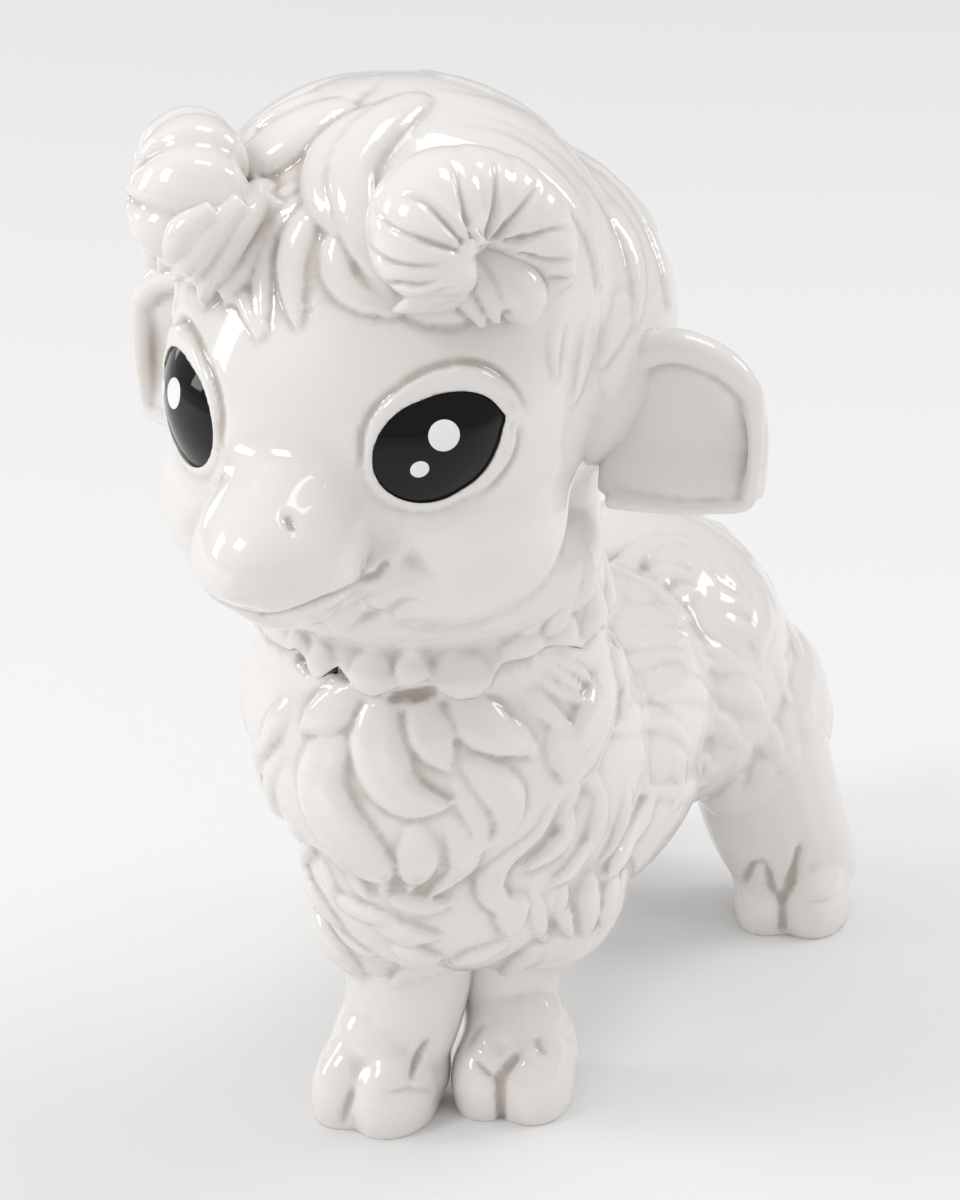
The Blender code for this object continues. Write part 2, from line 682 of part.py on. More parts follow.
cavity = modelled(heap([ball(centre, radii) for centre, radii in CAVITY_MASSES]), BASE_VOXEL, 8)
cavity = thinned(cavity, BUDGET["cavity"])
mouth = cone((0.0, NECK_BACK), MOUTH_RADIUS, MOUTH_RADIUS, MOUTH_FLOOR, NECK_TOP + OVERLAP)
body = cut(body, add(cavity, mouth))
node(body, "body", WHITE)

# The head: its skin, then the seat on the neck, the ring below it and the hollow.
head = thinned(make_head_skin(), BUDGET["head"])
seat = NECK_TOP + JOINT_GAP
head = cut(head, box((-FAR, -FAR, 0.0), (FAR, FAR, COLLAR_FOOT)))
room_foot = NECK_FOOT_RADIUS + COLLAR_CLEARANCE
head = cut(head, cone((0.0, NECK_BACK), room_foot, NECK_RADIUS + COLLAR_CLEARANCE, NECK_FOOT - OVERLAP, seat))
ring_radius = MOUTH_RADIUS - RING_CLEARANCE
ring_foot = NECK_TOP - RING_DEPTH
head = add(head, cone((0.0, NECK_BACK), ring_radius, ring_radius, ring_foot, seat + OVERLAP))
grown_head = swollen(head, JOINT_GAP)

eye_space = lentil(eye_frame(), [radius + JOINT_GAP for radius in EYE_RADII], *EYE_GRAIN)
right_eye_space = mirrored(eye_space)
for name, piece in (("ear", make_ear()), ("horn", make_horn())):
    node(luted(mirrored(piece), grown_head), name + "_right", WHITE, LID)
    node(luted(piece, grown_head), name + "_left", WHITE, LID)

bore = ring_radius - RING_WALL
head = cut(head, eye_space)
head = cut(head, right_eye_space)
hollow = ball(HOLLOW_CENTRE, HOLLOW_RADII, segments=22, rings=12)
throat = cone((0.0, NECK_BACK), bore, bore, ring_foot - OVERLAP, HOLLOW_CENTRE[2] - HOLLOW_RADII[2] / 2)
head = cut(head, add(hollow, throat))
node(head, "head", WHITE, LID)


def dotted(lens, side, sense):
    """Cuts a seat for each painted dot, makes the dots nodes, and hands back the lens.

    Sense -1 turns the order of the dots round.
    """
    for dot_name, (along, upward, radius) in DOTS.items():
        along = along * sense
        out = EYE_RADII[2] * math.sqrt(1 - (along / EYE_RADII[0]) ** 2 - (upward / EYE_RADII[1]) ** 2)
        tilt = Matrix.Rotation(math.atan2(along * 0.3, 1.0), 4, "Y")
        place = eye_frame() @ Matrix.Translation((along, upward, out - DOT_SINK)) @ tilt
        grown = radius + JOINT_GAP
        dot = lentil(place, (radius, radius, DOT_DEPTH), *DOT_GRAIN)
        lens = cut(lens, lentil(place, (grown, grown, DOT_DEPTH + JOINT_GAP), *DOT_GRAIN))
        node(mirrored(dot) if side == "right" else dot, f"eye_{side}_{dot_name}", ENAMEL, LID)
    return lens


node(dotted(lentil(eye_frame(), EYE_RADII, *EYE_GRAIN), "left", 1), "eye_left", BLACK, LID)
right_lens = dotted(lentil(eye_frame(), EYE_RADII, *EYE_GRAIN), "right", -1)
node(mirrored(right_lens), "eye_right", BLACK, LID)
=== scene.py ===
# %% [markdown]
# # A white glazed goat, dressed over its frame
#
# The real object is a slip-cast earthenware jar in the shape of a kid. The head is the lid. Everything is
# covered by one thick, clear-over-white glaze, the eyes are black glaze, and each eye carries two enamel
# dots. The frame gives the true sizes and the bodies that move. This script adds the modelled wool, the face
# and the finishes, one step at a time.

# %% Load the frame
import math

import bmesh
import bpy
import numpy as np
from mathutils import Euler, Matrix, Vector
from mathutils.bvhtree import BVHTree


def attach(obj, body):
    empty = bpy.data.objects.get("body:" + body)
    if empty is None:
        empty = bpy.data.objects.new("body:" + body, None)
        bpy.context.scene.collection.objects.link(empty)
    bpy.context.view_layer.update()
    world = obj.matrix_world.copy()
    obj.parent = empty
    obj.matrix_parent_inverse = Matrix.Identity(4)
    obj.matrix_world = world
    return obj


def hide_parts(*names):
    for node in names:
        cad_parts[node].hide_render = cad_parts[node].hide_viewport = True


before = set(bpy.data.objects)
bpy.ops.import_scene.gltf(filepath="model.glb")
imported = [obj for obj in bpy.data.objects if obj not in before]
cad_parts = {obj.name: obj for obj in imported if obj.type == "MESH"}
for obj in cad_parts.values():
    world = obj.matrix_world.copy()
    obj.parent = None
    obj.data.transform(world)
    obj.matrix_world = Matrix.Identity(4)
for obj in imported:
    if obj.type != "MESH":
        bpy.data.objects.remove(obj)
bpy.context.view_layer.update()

# %% [markdown]
# ## The camera
#
# The picture looks down on the goat a little from its left. A long lens far away keeps the near hoof from
# growing. The place of each lock of wool is later read through this camera, so it comes first. A pixel here
# is a place in a frame 960 wide and 1200 high.

# %% Place the camera
MM = 0.001
FRAME_WIDE, FRAME_HIGH = 960, 1200
LOOK_AT = Vector((0.0, -12.0, 128.0)) * MM
AZIMUTH, ELEVATION = math.radians(24), math.radians(22)
DISTANCE = 1.5
FOCAL_PIXELS = 6225
SENSOR = 36.0

OUT = Vector((
    math.sin(AZIMUTH) * math.cos(ELEVATION),
    -math.cos(AZIMUTH) * math.cos(ELEVATION),
    math.sin(ELEVATION),
))
ACROSS = Vector((math.cos(AZIMUTH), math.sin(AZIMUTH), 0.0))
UPWARD = OUT.cross(ACROSS)
EYEPOINT = LOOK_AT + OUT * DISTANCE

lens = bpy.data.cameras.new("studio_camera")
lens.sensor_fit = "VERTICAL"
lens.sensor_height = SENSOR
lens.lens = FOCAL_PIXELS * SENSOR / FRAME_HIGH
lens.clip_end = 10.0
camera = bpy.data.objects.new("studio_camera", lens)
bpy.context.scene.collection.objects.link(camera)
turn = Matrix((ACROSS, UPWARD, OUT)).transposed().to_4x4()
camera.matrix_world = Matrix.Translation(EYEPOINT) @ turn
bpy.context.scene.camera = camera
print("lens", round(lens.lens, 2), "mm")


def sight(x, y):
    """Which way the camera looks through a pixel."""
    sideways = (x - FRAME_WIDE / 2) / FOCAL_PIXELS
    down = (y - FRAME_HIGH / 2) / FOCAL_PIXELS
    return (ACROSS * sideways - UPWARD * down - OUT).normalized()


# %% [markdown]
# ## Clay
#
# A potter builds such a figure from balls and rolls of clay, runs them together, and then lays curls on top.
# The voxel Remesh modifier does the same: closed shapes that overlap become one skin, and Smooth takes the
# fingermarks out. That is why each form below is a plain list of balls.

# %% Shape helpers
def link(mesh, name):
    thing = bpy.data.objects.new(name, mesh)
    bpy.context.scene.collection.objects.link(thing)
    return thing


def from_bmesh(shape, name):
    mesh = bpy.data.meshes.new(name)
    shape.to_mesh(mesh)
    shape.free()
    return link(mesh, name)


def removed(thing):
    bpy.data.objects.remove(thing, do_unlink=True)


def rounded(segments, rings):
    """A ball of radius 1 that is still open to editing."""
    shape = bmesh.new()
    bmesh.ops.create_uvsphere(shape, u_segments=segments, v_segments=rings, radius=1.0)
    return shape


def ball(centre, radii, tilt=Euler()):
    """One ball of clay. Centre and radii are in millimetres."""
    shape = rounded(48, 28)
    place = Matrix.Translation(Vector(centre) * MM) @ tilt.to_matrix().to_4x4()
    size = Matrix.Diagonal((*(radius * MM for radius in radii), 1.0))
    bmesh.ops.transform(shape, matrix=place @ size, verts=shape.verts)
    return from_bmesh(shape, "ball")


def bar(centre, low_radius, high_radius, low, high):
    """An upright round bar, in millimetres."""
    shape = bmesh.new()
    bmesh.ops.create_cone(
        shape, cap_ends=True, segments=96,
        radius1=low_radius * MM, radius2=high_radius * MM, depth=(high - low) * MM,
    )
    middle = Vector((*centre, (low + high) / 2)) * MM
    bmesh.ops.translate(shape, vec=middle, verts=shape.verts)
    return from_bmesh(shape, "bar")


def block(low, high):
    shape = bmesh.new()
    bmesh.ops.create_cube(shape, size=1.0)
    size = (Vector(high) - Vector(low)) * MM
    middle = (Vector(high) + Vector(low)) * MM / 2
    place = Matrix.Translation(middle) @ Matrix.Diagonal((*size, 1.0))
    bmesh.ops.transform(shape, matrix=place, verts=shape.verts)
    return from_bmesh(shape, "block")


def roll(points, radii):
    """A tapered roll of clay through points in millimetres."""
    curve = bpy.data.curves.new("roll", "CURVE")
    curve.dimensions = "3D"
    curve.bevel_depth = MM
    curve.bevel_resolution = 6
    curve.use_fill_caps = True
    line = curve.splines.new("NURBS")
    line.points.add(len(points) - 1)
    line.use_endpoint_u = True
    line.order_u = 3
    for slot, point, radius in zip(line.points, points, radii):
        slot.co = (*(Vector(point) * MM), 1.0)
        slot.radius = radius
    solid = settled(bpy.data.objects.new("roll", curve))
    shape = bmesh.new()
    shape.from_mesh(solid.data)
    bmesh.ops.remove_doubles(shape, verts=shape.verts, dist=1e-6)
    bmesh.ops.recalc_face_normals(shape, faces=shape.faces)
    removed(solid)
    return from_bmesh(shape, "roll")


def settled(thing):
    """The object as a plain mesh, with its modifiers made real."""
    if thing.name not in bpy.context.scene.collection.objects:
        bpy.context.scene.collection.objects.link(thing)
    graph = bpy.context.evaluated_depsgraph_get()
    graph.update()
    mesh = bpy.data.meshes.new_from_object(thing.evaluated_get(graph), depsgraph=graph)
    name = thing.name
    removed(thing)
    return link(mesh, name)


def heap(things):
    shape = bmesh.new()
    for thing in things:
        shape.from_mesh(thing.data)
        removed(thing)
    return from_bmesh(shape, "heap")


def modelled(things, grain, strokes):
    """Runs closed shapes into one skin of this grain in millimetres, and smooths it by so many strokes."""
    thing = heap(things)
    skin = thing.modifiers.new("Run together", "REMESH")
    skin.mode = "VOXEL"
    skin.voxel_size = grain * MM
    soften = thing.modifiers.new("Smooth", "SMOOTH")
    soften.factor = 0.5
    soften.iterations = strokes
    return settled(thing)


def carved(thing, cutter):
    """Cuts one closed shape out of another."""
    step = thing.modifiers.new("Cut", "BOOLEAN")
    step.operation = "DIFFERENCE"
    step.solver = "EXACT"
    step.object = cutter
    bpy.context.view_layer.update()
    thing = settled(thing)
    removed(cutter)
    return thing


def copied(thing):
    return link(thing.data.copy(), thing.name)


def flipped(thing):
    """A copy on the other side of the goat."""
    shape = bmesh.new()
    shape.from_mesh(thing.data)
    bmesh.ops.scale(shape, vec=(-1, 1, 1), verts=shape.verts)
    bmesh.ops.reverse_faces(shape, faces=shape.faces)
    return from_bmesh(shape, thing.name)


def tree_of(thing):
    shape = bmesh.new()
    shape.from_mesh(thing.data)
    skin = BVHTree.FromBMesh(shape)
    shape.free()
    return skin


def seen(skin, x, y):
    """The place on a skin that the camera sees at a pixel, or the nearest place to that line of sight."""
    way = sight(x, y)
    place, _, _, _ = skin.ray_cast(EYEPOINT, way)
    if place is not None:
        return place
    near = EYEPOINT + way * DISTANCE
    for _ in range(6):
        place, _, _, _ = skin.find_nearest(near)
        near = EYEPOINT + way * (place - EYEPOINT).dot(way)
    return place


# %% [markdown]
# ## A lock of wool
#
# The wool is a few hundred curls that all follow the skin. Each is a line on the skin with a width. A
# Geometry Nodes tree lays the line down on the skin, turns it to stand on the surface, and sweeps a
# flattened round along it, thin at the root, widest before the middle and pointed at the tip. The top is
# pressed into strands.

# %% Build the lock tree
def put(tree, kind, feeds=None, **settings):
    """Adds one node with its settings, its values and its links. A node feeds its first output."""
    made = tree.nodes.new(kind)
    for key, value in settings.items():
        setattr(made, key, value)
    for socket, source in (feeds or {}).items():
        if isinstance(source, bpy.types.Node):
            source = source.outputs[0]
        if isinstance(source, bpy.types.NodeSocket):
            tree.links.new(source, made.inputs[socket])
        else:
            made.inputs[socket].default_value = source
    return made


def new_tree(name, inputs):
    """An empty modifier tree with a geometry in and out, and named inputs."""
    tree = bpy.data.node_groups.new(name, "GeometryNodeTree")
    tree.interface.new_socket("Geometry", in_out="INPUT", socket_type="NodeSocketGeometry")
    for label, (kind, value) in inputs.items():
        socket = tree.interface.new_socket(label, in_out="INPUT", socket_type=kind)
        if value is not None:
            socket.default_value = value
    tree.interface.new_socket("Geometry", in_out="OUTPUT", socket_type="NodeSocketGeometry")
    return tree


def swept(tree, line, profile, size, finish):
    """Sweeps a profile along a line, gives it its glaze and hands it out of the tree."""
    feeds = {"Curve": line, "Profile Curve": profile, "Scale": size, "Fill Caps": True}
    real = put(tree, "GeometryNodeRealizeInstances", {0: put(tree, "GeometryNodeCurveToMesh", feeds)})
    dressed = put(tree, "GeometryNodeSetMaterial", {"Geometry": real, "Material": finish})
    put(tree, "NodeGroupOutput", {0: dressed})
    return tree


def set_inputs(modifier, values):
    """Sets a tree's named inputs by their identifiers."""
    for item in modifier.node_group.interface.items_tree:
        if item.item_type == "SOCKET" and item.in_out == "INPUT" and item.name in values:
            modifier[item.identifier] = values[item.name]


LOCK_STEPS = 18
LOCK_SIDES = 22
LOCK_SHAPE = [(0.0, 0.42), (0.12, 0.74), (0.38, 1.0), (0.66, 0.80), (0.86, 0.42), (0.96, 0.17), (1.0, 0.05)]


def lock_tree():
    tree = new_tree("wool_locks", {
        "Skin": ("NodeSocketObject", None),
        "Thickness": ("NodeSocketFloat", 0.45),
        "Root lift": ("NodeSocketFloat", 0.0),
        "Tip lift": ("NodeSocketFloat", 0.001),
        "Strands": ("NodeSocketFloat", 2.0),
        "Strand depth": ("NodeSocketFloat", 0.25),
        "Finish": ("NodeSocketMaterial", None),
    })
    given = put(tree, "NodeGroupInput").outputs
    steps = {"Curve": given["Geometry"], "Count": LOCK_STEPS}
    line = put(tree, "GeometryNodeResampleCurve", steps, mode="COUNT")
    skin = put(tree, "GeometryNodeObjectInfo", {"Object": given["Skin"]}).outputs["Geometry"]
    where = put(tree, "GeometryNodeInputPosition")
    facing = put(tree, "GeometryNodeInputNormal")
    nearest = "GeometryNodeSampleNearestSurface"
    foot = put(tree, nearest, {"Mesh": skin, "Value": where}, data_type="FLOAT_VECTOR")
    stand = put(tree, nearest, {"Mesh": skin, "Value": facing}, data_type="FLOAT_VECTOR")
    share = put(tree, "GeometryNodeSplineParameter").outputs["Factor"]
    rise = {"Value": share, "To Min": given["Root lift"], "To Max": given["Tip lift"]}
    lift = put(tree, "ShaderNodeMapRange", rise)
    raised = put(tree, "ShaderNodeVectorMath", {0: stand, "Scale": lift}, operation="SCALE")
    upright = put(tree, "GeometryNodeSetCurveNormal", {"Curve": line, "Normal": stand}, mode="FREE")
    laid = put(
        tree, "GeometryNodeSetPosition", {"Geometry": upright, "Position": foot, "Offset": raised}
    )
    taper = put(tree, "ShaderNodeFloatCurve", {"Value": share})
    points = taper.mapping.curves[0].points
    while len(points) < len(LOCK_SHAPE):
        points.new(0.5, 0.5)
    for slot, (along, wide) in zip(points, LOCK_SHAPE):
        slot.location = (along, wide)
    taper.mapping.update()
    width = put(tree, "GeometryNodeInputRadius")
    size = put(tree, "ShaderNodeMath", {0: width, 1: taper}, operation="MULTIPLY")
    round_line = put(tree, "GeometryNodeCurvePrimitiveCircle", {"Resolution": LOCK_SIDES, "Radius": 1.0})
    parts = put(tree, "ShaderNodeSeparateXYZ", {0: where}).outputs
    across = put(tree, "ShaderNodeMath", {0: parts["Y"], 1: 1.0}, operation="ADD")
    waves = put(tree, "ShaderNodeMath", {0: given["Strands"], 1: math.pi}, operation="MULTIPLY")
    phase = put(tree, "ShaderNodeMath", {0: across, 1: waves}, operation="MULTIPLY")
    ripple = put(tree, "ShaderNodeMath", {0: phase}, operation="COSINE")
    wave = put(tree, "ShaderNodeMath", {0: ripple, 1: 0.5, 2: 0.5}, operation="MULTIPLY_ADD")
    dip = put(tree, "ShaderNodeMath", {0: wave, 1: given["Strand depth"]}, operation="MULTIPLY")
    rest = put(tree, "ShaderNodeMath", {0: 1.0, 1: dip}, operation="SUBTRACT")
    height = put(tree, "ShaderNodeMath", {0: parts["X"], 1: rest}, operation="MULTIPLY")
    flat = put(tree, "ShaderNodeMath", {0: height, 1: given["Thickness"]}, operation="MULTIPLY")
    outline = put(tree, "ShaderNodeCombineXYZ", {"X": flat, "Y": parts["Y"]})
    profile = put(tree, "GeometryNodeSetPosition", {"Geometry": round_line, "Position": outline})
    return swept(tree, laid, profile, size, given["Finish"])


LOCKS = lock_tree()
print("lock tree", len(LOCKS.nodes), "nodes")


def wool(skin_thing, lines, **shape):
    """Lays locks on a skin. Each line is (points in metres, width in millimetres)."""
    curve = bpy.data.curves.new("wool", "CURVE")
    curve.dimensions = "3D"
    for points, width in lines:
        line = curve.splines.new("NURBS")
        line.points.add(len(points) - 1)
        line.use_endpoint_u = True
        line.order_u = 3
        for slot, point in zip(line.points, points):
            slot.co = (*point, 1.0)
            slot.radius = width * MM / 2
    thing = link(curve, "wool")
    step = thing.modifiers.new("Locks", "NODES")
    step.node_group = LOCKS
    set_inputs(step, {"Skin": skin_thing, **shape})
    return settled(thing)


def traced(skin, strokes):
    """Lines on the skin from strokes that were read off the picture.

    Each stroke is its width in pixels and then the pixels of its middle line.
    """
    found = []
    for width, *pixels in strokes:
        points = [seen(skin, x, y) for x, y in pixels]
        depth = (points[0] - EYEPOINT).dot(-OUT)
        found.append((points, width * depth / FOCAL_PIXELS / MM))
    return found


def laid_on(skin, presses):
    """Presses whose pixels were read off the picture, with the pixels cast on a skin."""
    return [([seen(skin, x, y) for x, y in pixels], *rest) for pixels, *rest in presses]


def mirrored(lines):
    return [([Vector((-p.x, p.y, p.z)) for p in points], width) for points, width in lines]


def bearing(turn):
    """The level direction at a turn about an upright axis, counted from straight ahead."""
    return Vector((math.sin(turn), -math.cos(turn), 0.0))


def crept(skin, start, heading, length, width, curl, steps=6):
    """A line that creeps over the skin from a point, turning by curl and back like an S."""
    place, normal, _, _ = skin.find_nearest(Vector(start) * MM)
    way = Vector(heading)
    points = []
    for step in range(steps + 1):
        points.append(place.copy())
        way = way - normal * way.dot(normal)
        way.normalize()
        way.rotate(Matrix.Rotation(curl * math.cos(math.pi * step / steps), 3, normal))
        place, normal, _, _ = skin.find_nearest(place + way * length * MM / steps)
    return points, width


# %% [markdown]
# ## Glazes
#
# The white glaze is thick tin-white over a pale body: glassy and almost without grain. In the creases it is
# painted darker and warmer, partly for glaze that gathers thicker there and partly as painted shade. Its
# tone wanders over a few centimetres, and ripples about 9 mm wide make its reflections waver. The black
# glaze is the same glass over iron oxide, and nearly a mirror. The dots are enamel, fired a little less
# glossy.

# %% Make the glazes
def colour(code):
    """An sRGB hex colour as linear light."""
    def one(value):
        return value / 12.92 if value <= 0.04045 else ((value + 0.055) / 1.055) ** 2.4
    return (*(one(int(code[i:i + 2], 16) / 255) for i in (1, 3, 5)), 1.0)


CLOUD_MM, RIPPLE_MM, SPECK_MM = 36.0, 9.0, 3.0
GLAZE_IOR = 1.52
CREASE = "crease"


def blank(name):
    """A new material, its node tree and its shader."""
    material = bpy.data.materials.new(name)
    material.use_nodes = True
    return material, material.node_tree, material.node_tree.nodes["Principled BSDF"]


def white_glaze():
    material, tree, shader = blank("glazed_white_earthenware")
    place = put(tree, "ShaderNodeTexCoord").outputs["Object"]
    cloud = put(tree, "ShaderNodeTexNoise", {"Vector": place, "Scale": 1 / (CLOUD_MM * MM), "Detail": 2.0})
    ripple = put(tree, "ShaderNodeTexNoise", {"Vector": place, "Scale": 1 / (RIPPLE_MM * MM), "Detail": 1.0})
    # The crease attribute paints the glaze darker and warmer in the creases: partly thicker glaze, partly
    # painted shade.
    crease_pool_and_shade = put(tree, "ShaderNodeAttribute", attribute_name=CREASE).outputs["Fac"]
    shades = {0: cloud, 6: colour("#EBE7E4"), 7: colour("#E6E2DE")}
    ground = put(tree, "ShaderNodeMix", shades, data_type="RGBA").outputs[2]
    pool_and_shade_colours = {0: crease_pool_and_shade, 6: ground, 7: colour("#BFB5AD")}
    tint = put(tree, "ShaderNodeMix", pool_and_shade_colours, data_type="RGBA").outputs[2]
    gloss = put(tree, "ShaderNodeMapRange", {"Value": cloud, "To Min": 0.07, "To Max": 0.13})
    bump = put(tree, "ShaderNodeBump", {"Height": ripple, "Strength": 0.06, "Distance": MM})
    tree.links.new(tint, shader.inputs["Base Color"])
    tree.links.new(gloss.outputs[0], shader.inputs["Roughness"])
    tree.links.new(bump.outputs[0], shader.inputs["Normal"])
    shader.inputs["IOR"].default_value = GLAZE_IOR
    shader.inputs["Coat Weight"].default_value = 0.6
    shader.inputs["Coat Roughness"].default_value = 0.02
    return material


def plain_glaze(name, dark, light, low, high, level):
    """A small painted glaze whose colour and gloss wander a little between two values."""
    material, tree, shader = blank(name)
    place = put(tree, "ShaderNodeTexCoord").outputs["Object"]
    cloud = put(tree, "ShaderNodeTexNoise", {"Vector": place, "Scale": 1 / (SPECK_MM * MM), "Detail": 2.0})
    shades = {0: cloud, 6: colour(dark), 7: colour(light)}
    tint = put(tree, "ShaderNodeMix", shades, data_type="RGBA").outputs[2]
    gloss = put(tree, "ShaderNodeMapRange", {"Value": cloud, "To Min": low, "To Max": high})
    tree.links.new(tint, shader.inputs["Base Color"])
    tree.links.new(gloss.outputs[0], shader.inputs["Roughness"])
    shader.inputs["IOR"].default_value = GLAZE_IOR
    shader.inputs["Specular IOR Level"].default_value = level
    return material


WHITE = white_glaze()
BLACK = plain_glaze("black_iron_glaze", "#050505", "#090809", 0.04, 0.07, 0.3)
ENAMEL = plain_glaze("white_dot_enamel", "#F2F2F0", "#EAEAE8", 0.12, 0.2, 0.5)
print("glazes", [m.name for m in (WHITE, BLACK, ENAMEL)])

# %% [markdown]
# ## Pressing with a tool
#
# The mouth, a nostril and the folds of the lids are too fine to lay on as clay. A potter presses or pulls
# them with a tool, and so does this helper: it moves the points near a line along their normals, in or out,
# with a soft edge.

# %% Press helper
def arrays(thing):
    mesh = thing.data
    places = np.empty(len(mesh.vertices) * 3, np.float32)
    mesh.vertices.foreach_get("co", places)
    facing = np.empty(len(mesh.vertices) * 3, np.float32)
    mesh.vertex_normals.foreach_get("vector", facing)
    return places.reshape(-1, 3).astype(np.float64), facing.reshape(-1, 3).astype(np.float64)


def write_back(thing, places):
    thing.data.vertices.foreach_set("co", places.astype(np.float32).ravel())
    thing.data.update()


def distance_to(places, line):
    """How far each place lies from a bent line, and the share of the line where that is."""
    best = np.full(len(places), 1e9)
    share = np.zeros(len(places))
    count = len(line) - 1
    for index in range(count):
        start, step = line[index], line[index + 1] - line[index]
        along = np.clip(((places - start) @ step) / max(step @ step, 1e-18), 0, 1)
        gap = np.linalg.norm(places - start - along[:, None] * step, axis=1)
        closer = gap < best
        best[closer] = gap[closer]
        share[closer] = (index + along[closer]) / count
    return best, share


def smooth_line(points, count=24):
    """More points on a smooth curve through a few."""
    points = [np.array(p, float) for p in points]
    if len(points) < 3:
        return np.array([points[0] + (points[-1] - points[0]) * i / (count - 1) for i in range(count)])
    padded = [2 * points[0] - points[1]] + points + [2 * points[-1] - points[-2]]
    found = []
    for i in range(count):
        at = (len(points) - 1) * i / (count - 1)
        k = min(int(at), len(points) - 2)
        t = at - k
        a, b, c, d = padded[k:k + 4]
        bend = (2 * a - 5 * b + 4 * c - d) * t * t
        twist = (3 * b - a - 3 * c + d) * t ** 3
        found.append(0.5 * (2 * b + (c - a) * t + bend + twist))
    return np.array(found)


def pressed(thing, presses):
    """Each press is (points in metres, width in mm, depth in mm, taper). A negative depth pulls out.

    The taper fades both ends of the line, and a negative one its start alone.
    """
    places, facing = arrays(thing)
    for points, width, depth, taper in presses:
        line = smooth_line(points)
        reach = width * MM
        low, high = line.min(0) - reach, line.max(0) + reach
        near = np.nonzero(((places > low) & (places < high)).all(1))[0]
        if not len(near):
            continue
        gap, share = distance_to(places[near], line)
        soft = np.clip(1 - gap / reach, 0, 1)
        soft = soft * soft * (3 - 2 * soft)
        if taper > 0:
            soft *= np.sin(np.pi * np.clip(share * 0.96 + 0.02, 0, 1)) ** taper
        elif taper < 0:
            soft *= np.clip(share, 0, 1) ** -taper
        places[near] -= facing[near] * (soft * depth * MM)[:, None]
    write_back(thing, places)


def both_sides(presses):
    return presses + [([(-p[0], p[1], p[2]) for p in points], *rest) for points, *rest in presses]


MOST_TRIANGLES = 190000


def thinned(thing):
    triangles = sum(len(face.vertices) - 2 for face in thing.data.polygons)
    if triangles > MOST_TRIANGLES:
        fewer = thing.modifiers.new("Thin", "DECIMATE")
        fewer.ratio = MOST_TRIANGLES / triangles
        thing = settled(thing)
    return thing


CREASE_REACH, CREASE_MM = 6, 0.35


def creases(thing):
    """Stores how deep each point lies in a crease, as the attribute by which the white glaze is painted
    darker: partly thicker glaze, partly painted shade.
    """
    mesh = thing.data
    places, facing = arrays(thing)
    ends = np.empty(len(mesh.edges) * 2, np.int64)
    mesh.edges.foreach_get("vertices", ends)
    ends = ends.reshape(-1, 2)
    count = np.bincount(ends.ravel(), minlength=len(places))[:, None].clip(1)
    soft = places.copy()
    for _ in range(CREASE_REACH):
        total = np.zeros_like(soft)
        for axis in range(3):
            total[:, axis] = np.bincount(ends[:, 0], soft[ends[:, 1], axis], len(places))
            total[:, axis] += np.bincount(ends[:, 1], soft[ends[:, 0], axis], len(places))
        soft = total / count
    depth = ((soft - places) * facing).sum(1) / MM
    value = np.clip(depth / CREASE_MM, 0, 1)
    layer = mesh.attributes.get(CREASE) or mesh.attributes.new(CREASE, "FLOAT", "POINT")
    layer.data.foreach_set("value", value.astype(np.float32))


def finished(thing, name, body, glaze, node):
    """Names a piece, gives it its glaze and tells the frame what it is."""
    thing.name = thing.data.name = name
    thing.data.materials.clear()
    thing.data.materials.append(glaze)
    thing.data.polygons.foreach_set("material_index", [0] * len(thing.data.polygons))
    thing.data.shade_smooth()
    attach(thing, body)
    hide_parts(node)
    print(name, len(thing.data.polygons), "faces")
    return thing


def white_piece(thing, name, body, node):
    """Finishes a piece in the white glaze, painted darker in its creases for thicker glaze and for shade."""
    creases(thing)
    return finished(thing, name, body, WHITE, node)


# %% [markdown]
# ## The hollow body
#
# The belly, chest and haunches are balls run together. The neck stands on top, and the collar of the lid
# comes down round it.

# %% Shape the plain body
BODY_BALLS = [
    ((0, -46, 105), (38.5, 41, 32)),
    ((0, -33, 80), (34.5, 36, 39)),
    ((0, -10, 87), (39, 44, 40)),
    ((0, 30, 81), (38, 56, 37.5)),
    ((0, -41, 116), (45.0, 45.0, 38)),
    ((0, 26, 66), (37, 56, 30)),
    ((0, 82, 77), (41, 43, 40.5)),
    ((26, 104, 56), (19.5, 25, 29)),
    ((-26, 94, 56), (19.5, 25, 29)),
    ((19, -8, 58), (17, 24, 24)),
    ((9.5, -13, 55), (18, 19, 24)),
    ((-13.5, -31, 55), (19.5, 19, 26)),
]
CAVITY_BALLS = [
    ((0, -38, 98), (27, 31, 29)),
    ((0, 20, 87), (27, 60, 26)),
    ((0, 78, 83), (31, 34, 28)),
]
NECK = (0.0, -41.0)
NECK_TOP, NECK_FOOT = 140.5, 130.5
NECK_RADIUS, NECK_FOOT_RADIUS = 36.5, 38.0
MOUTH_RADIUS, MOUTH_FLOOR, MOUTH_CUT_TOP = 30.0, 95.0, 170.0
COLLAR_RADIUS = 41.4
SEAM_RADIUS, SEAM_GAP = 43.0, 0.25
SEAM_LOW, SEAM_HIGH = 131.2, 139.8
SEAM = [
    (262, 640), (285, 652), (300, 648), (318, 680), (335, 668), (355, 690), (373, 697), (393, 690),
    (412, 686), (428, 679), (442, 692), (460, 701), (478, 698), (492, 684), (503, 667), (516, 660),
    (532, 656), (545, 646),
]
REAR_SCALLOPS, REAR_CREST, REAR_DIP = 13, 138.8, 135.2
HALO_RADIUS, HALO_BORE, HALO_TOP = 90.0, 20.0, 175.0
NEAR_JOINT = 10.0


def on_collar(x, y):
    """The turn about the neck, and the height in millimetres, where a line of sight meets the collar."""
    way = sight(x, y)
    start = EYEPOINT - Vector((*NECK, 0)) * MM
    across = way.x ** 2 + way.y ** 2
    toward = start.x * way.x + start.y * way.y
    beyond = start.x ** 2 + start.y ** 2 - (SEAM_RADIUS * MM) ** 2
    reach = (-toward - math.sqrt(max(toward * toward - across * beyond, 0.0))) / across
    place = start + way * reach
    return math.atan2(place.x, -place.y), place.z / MM


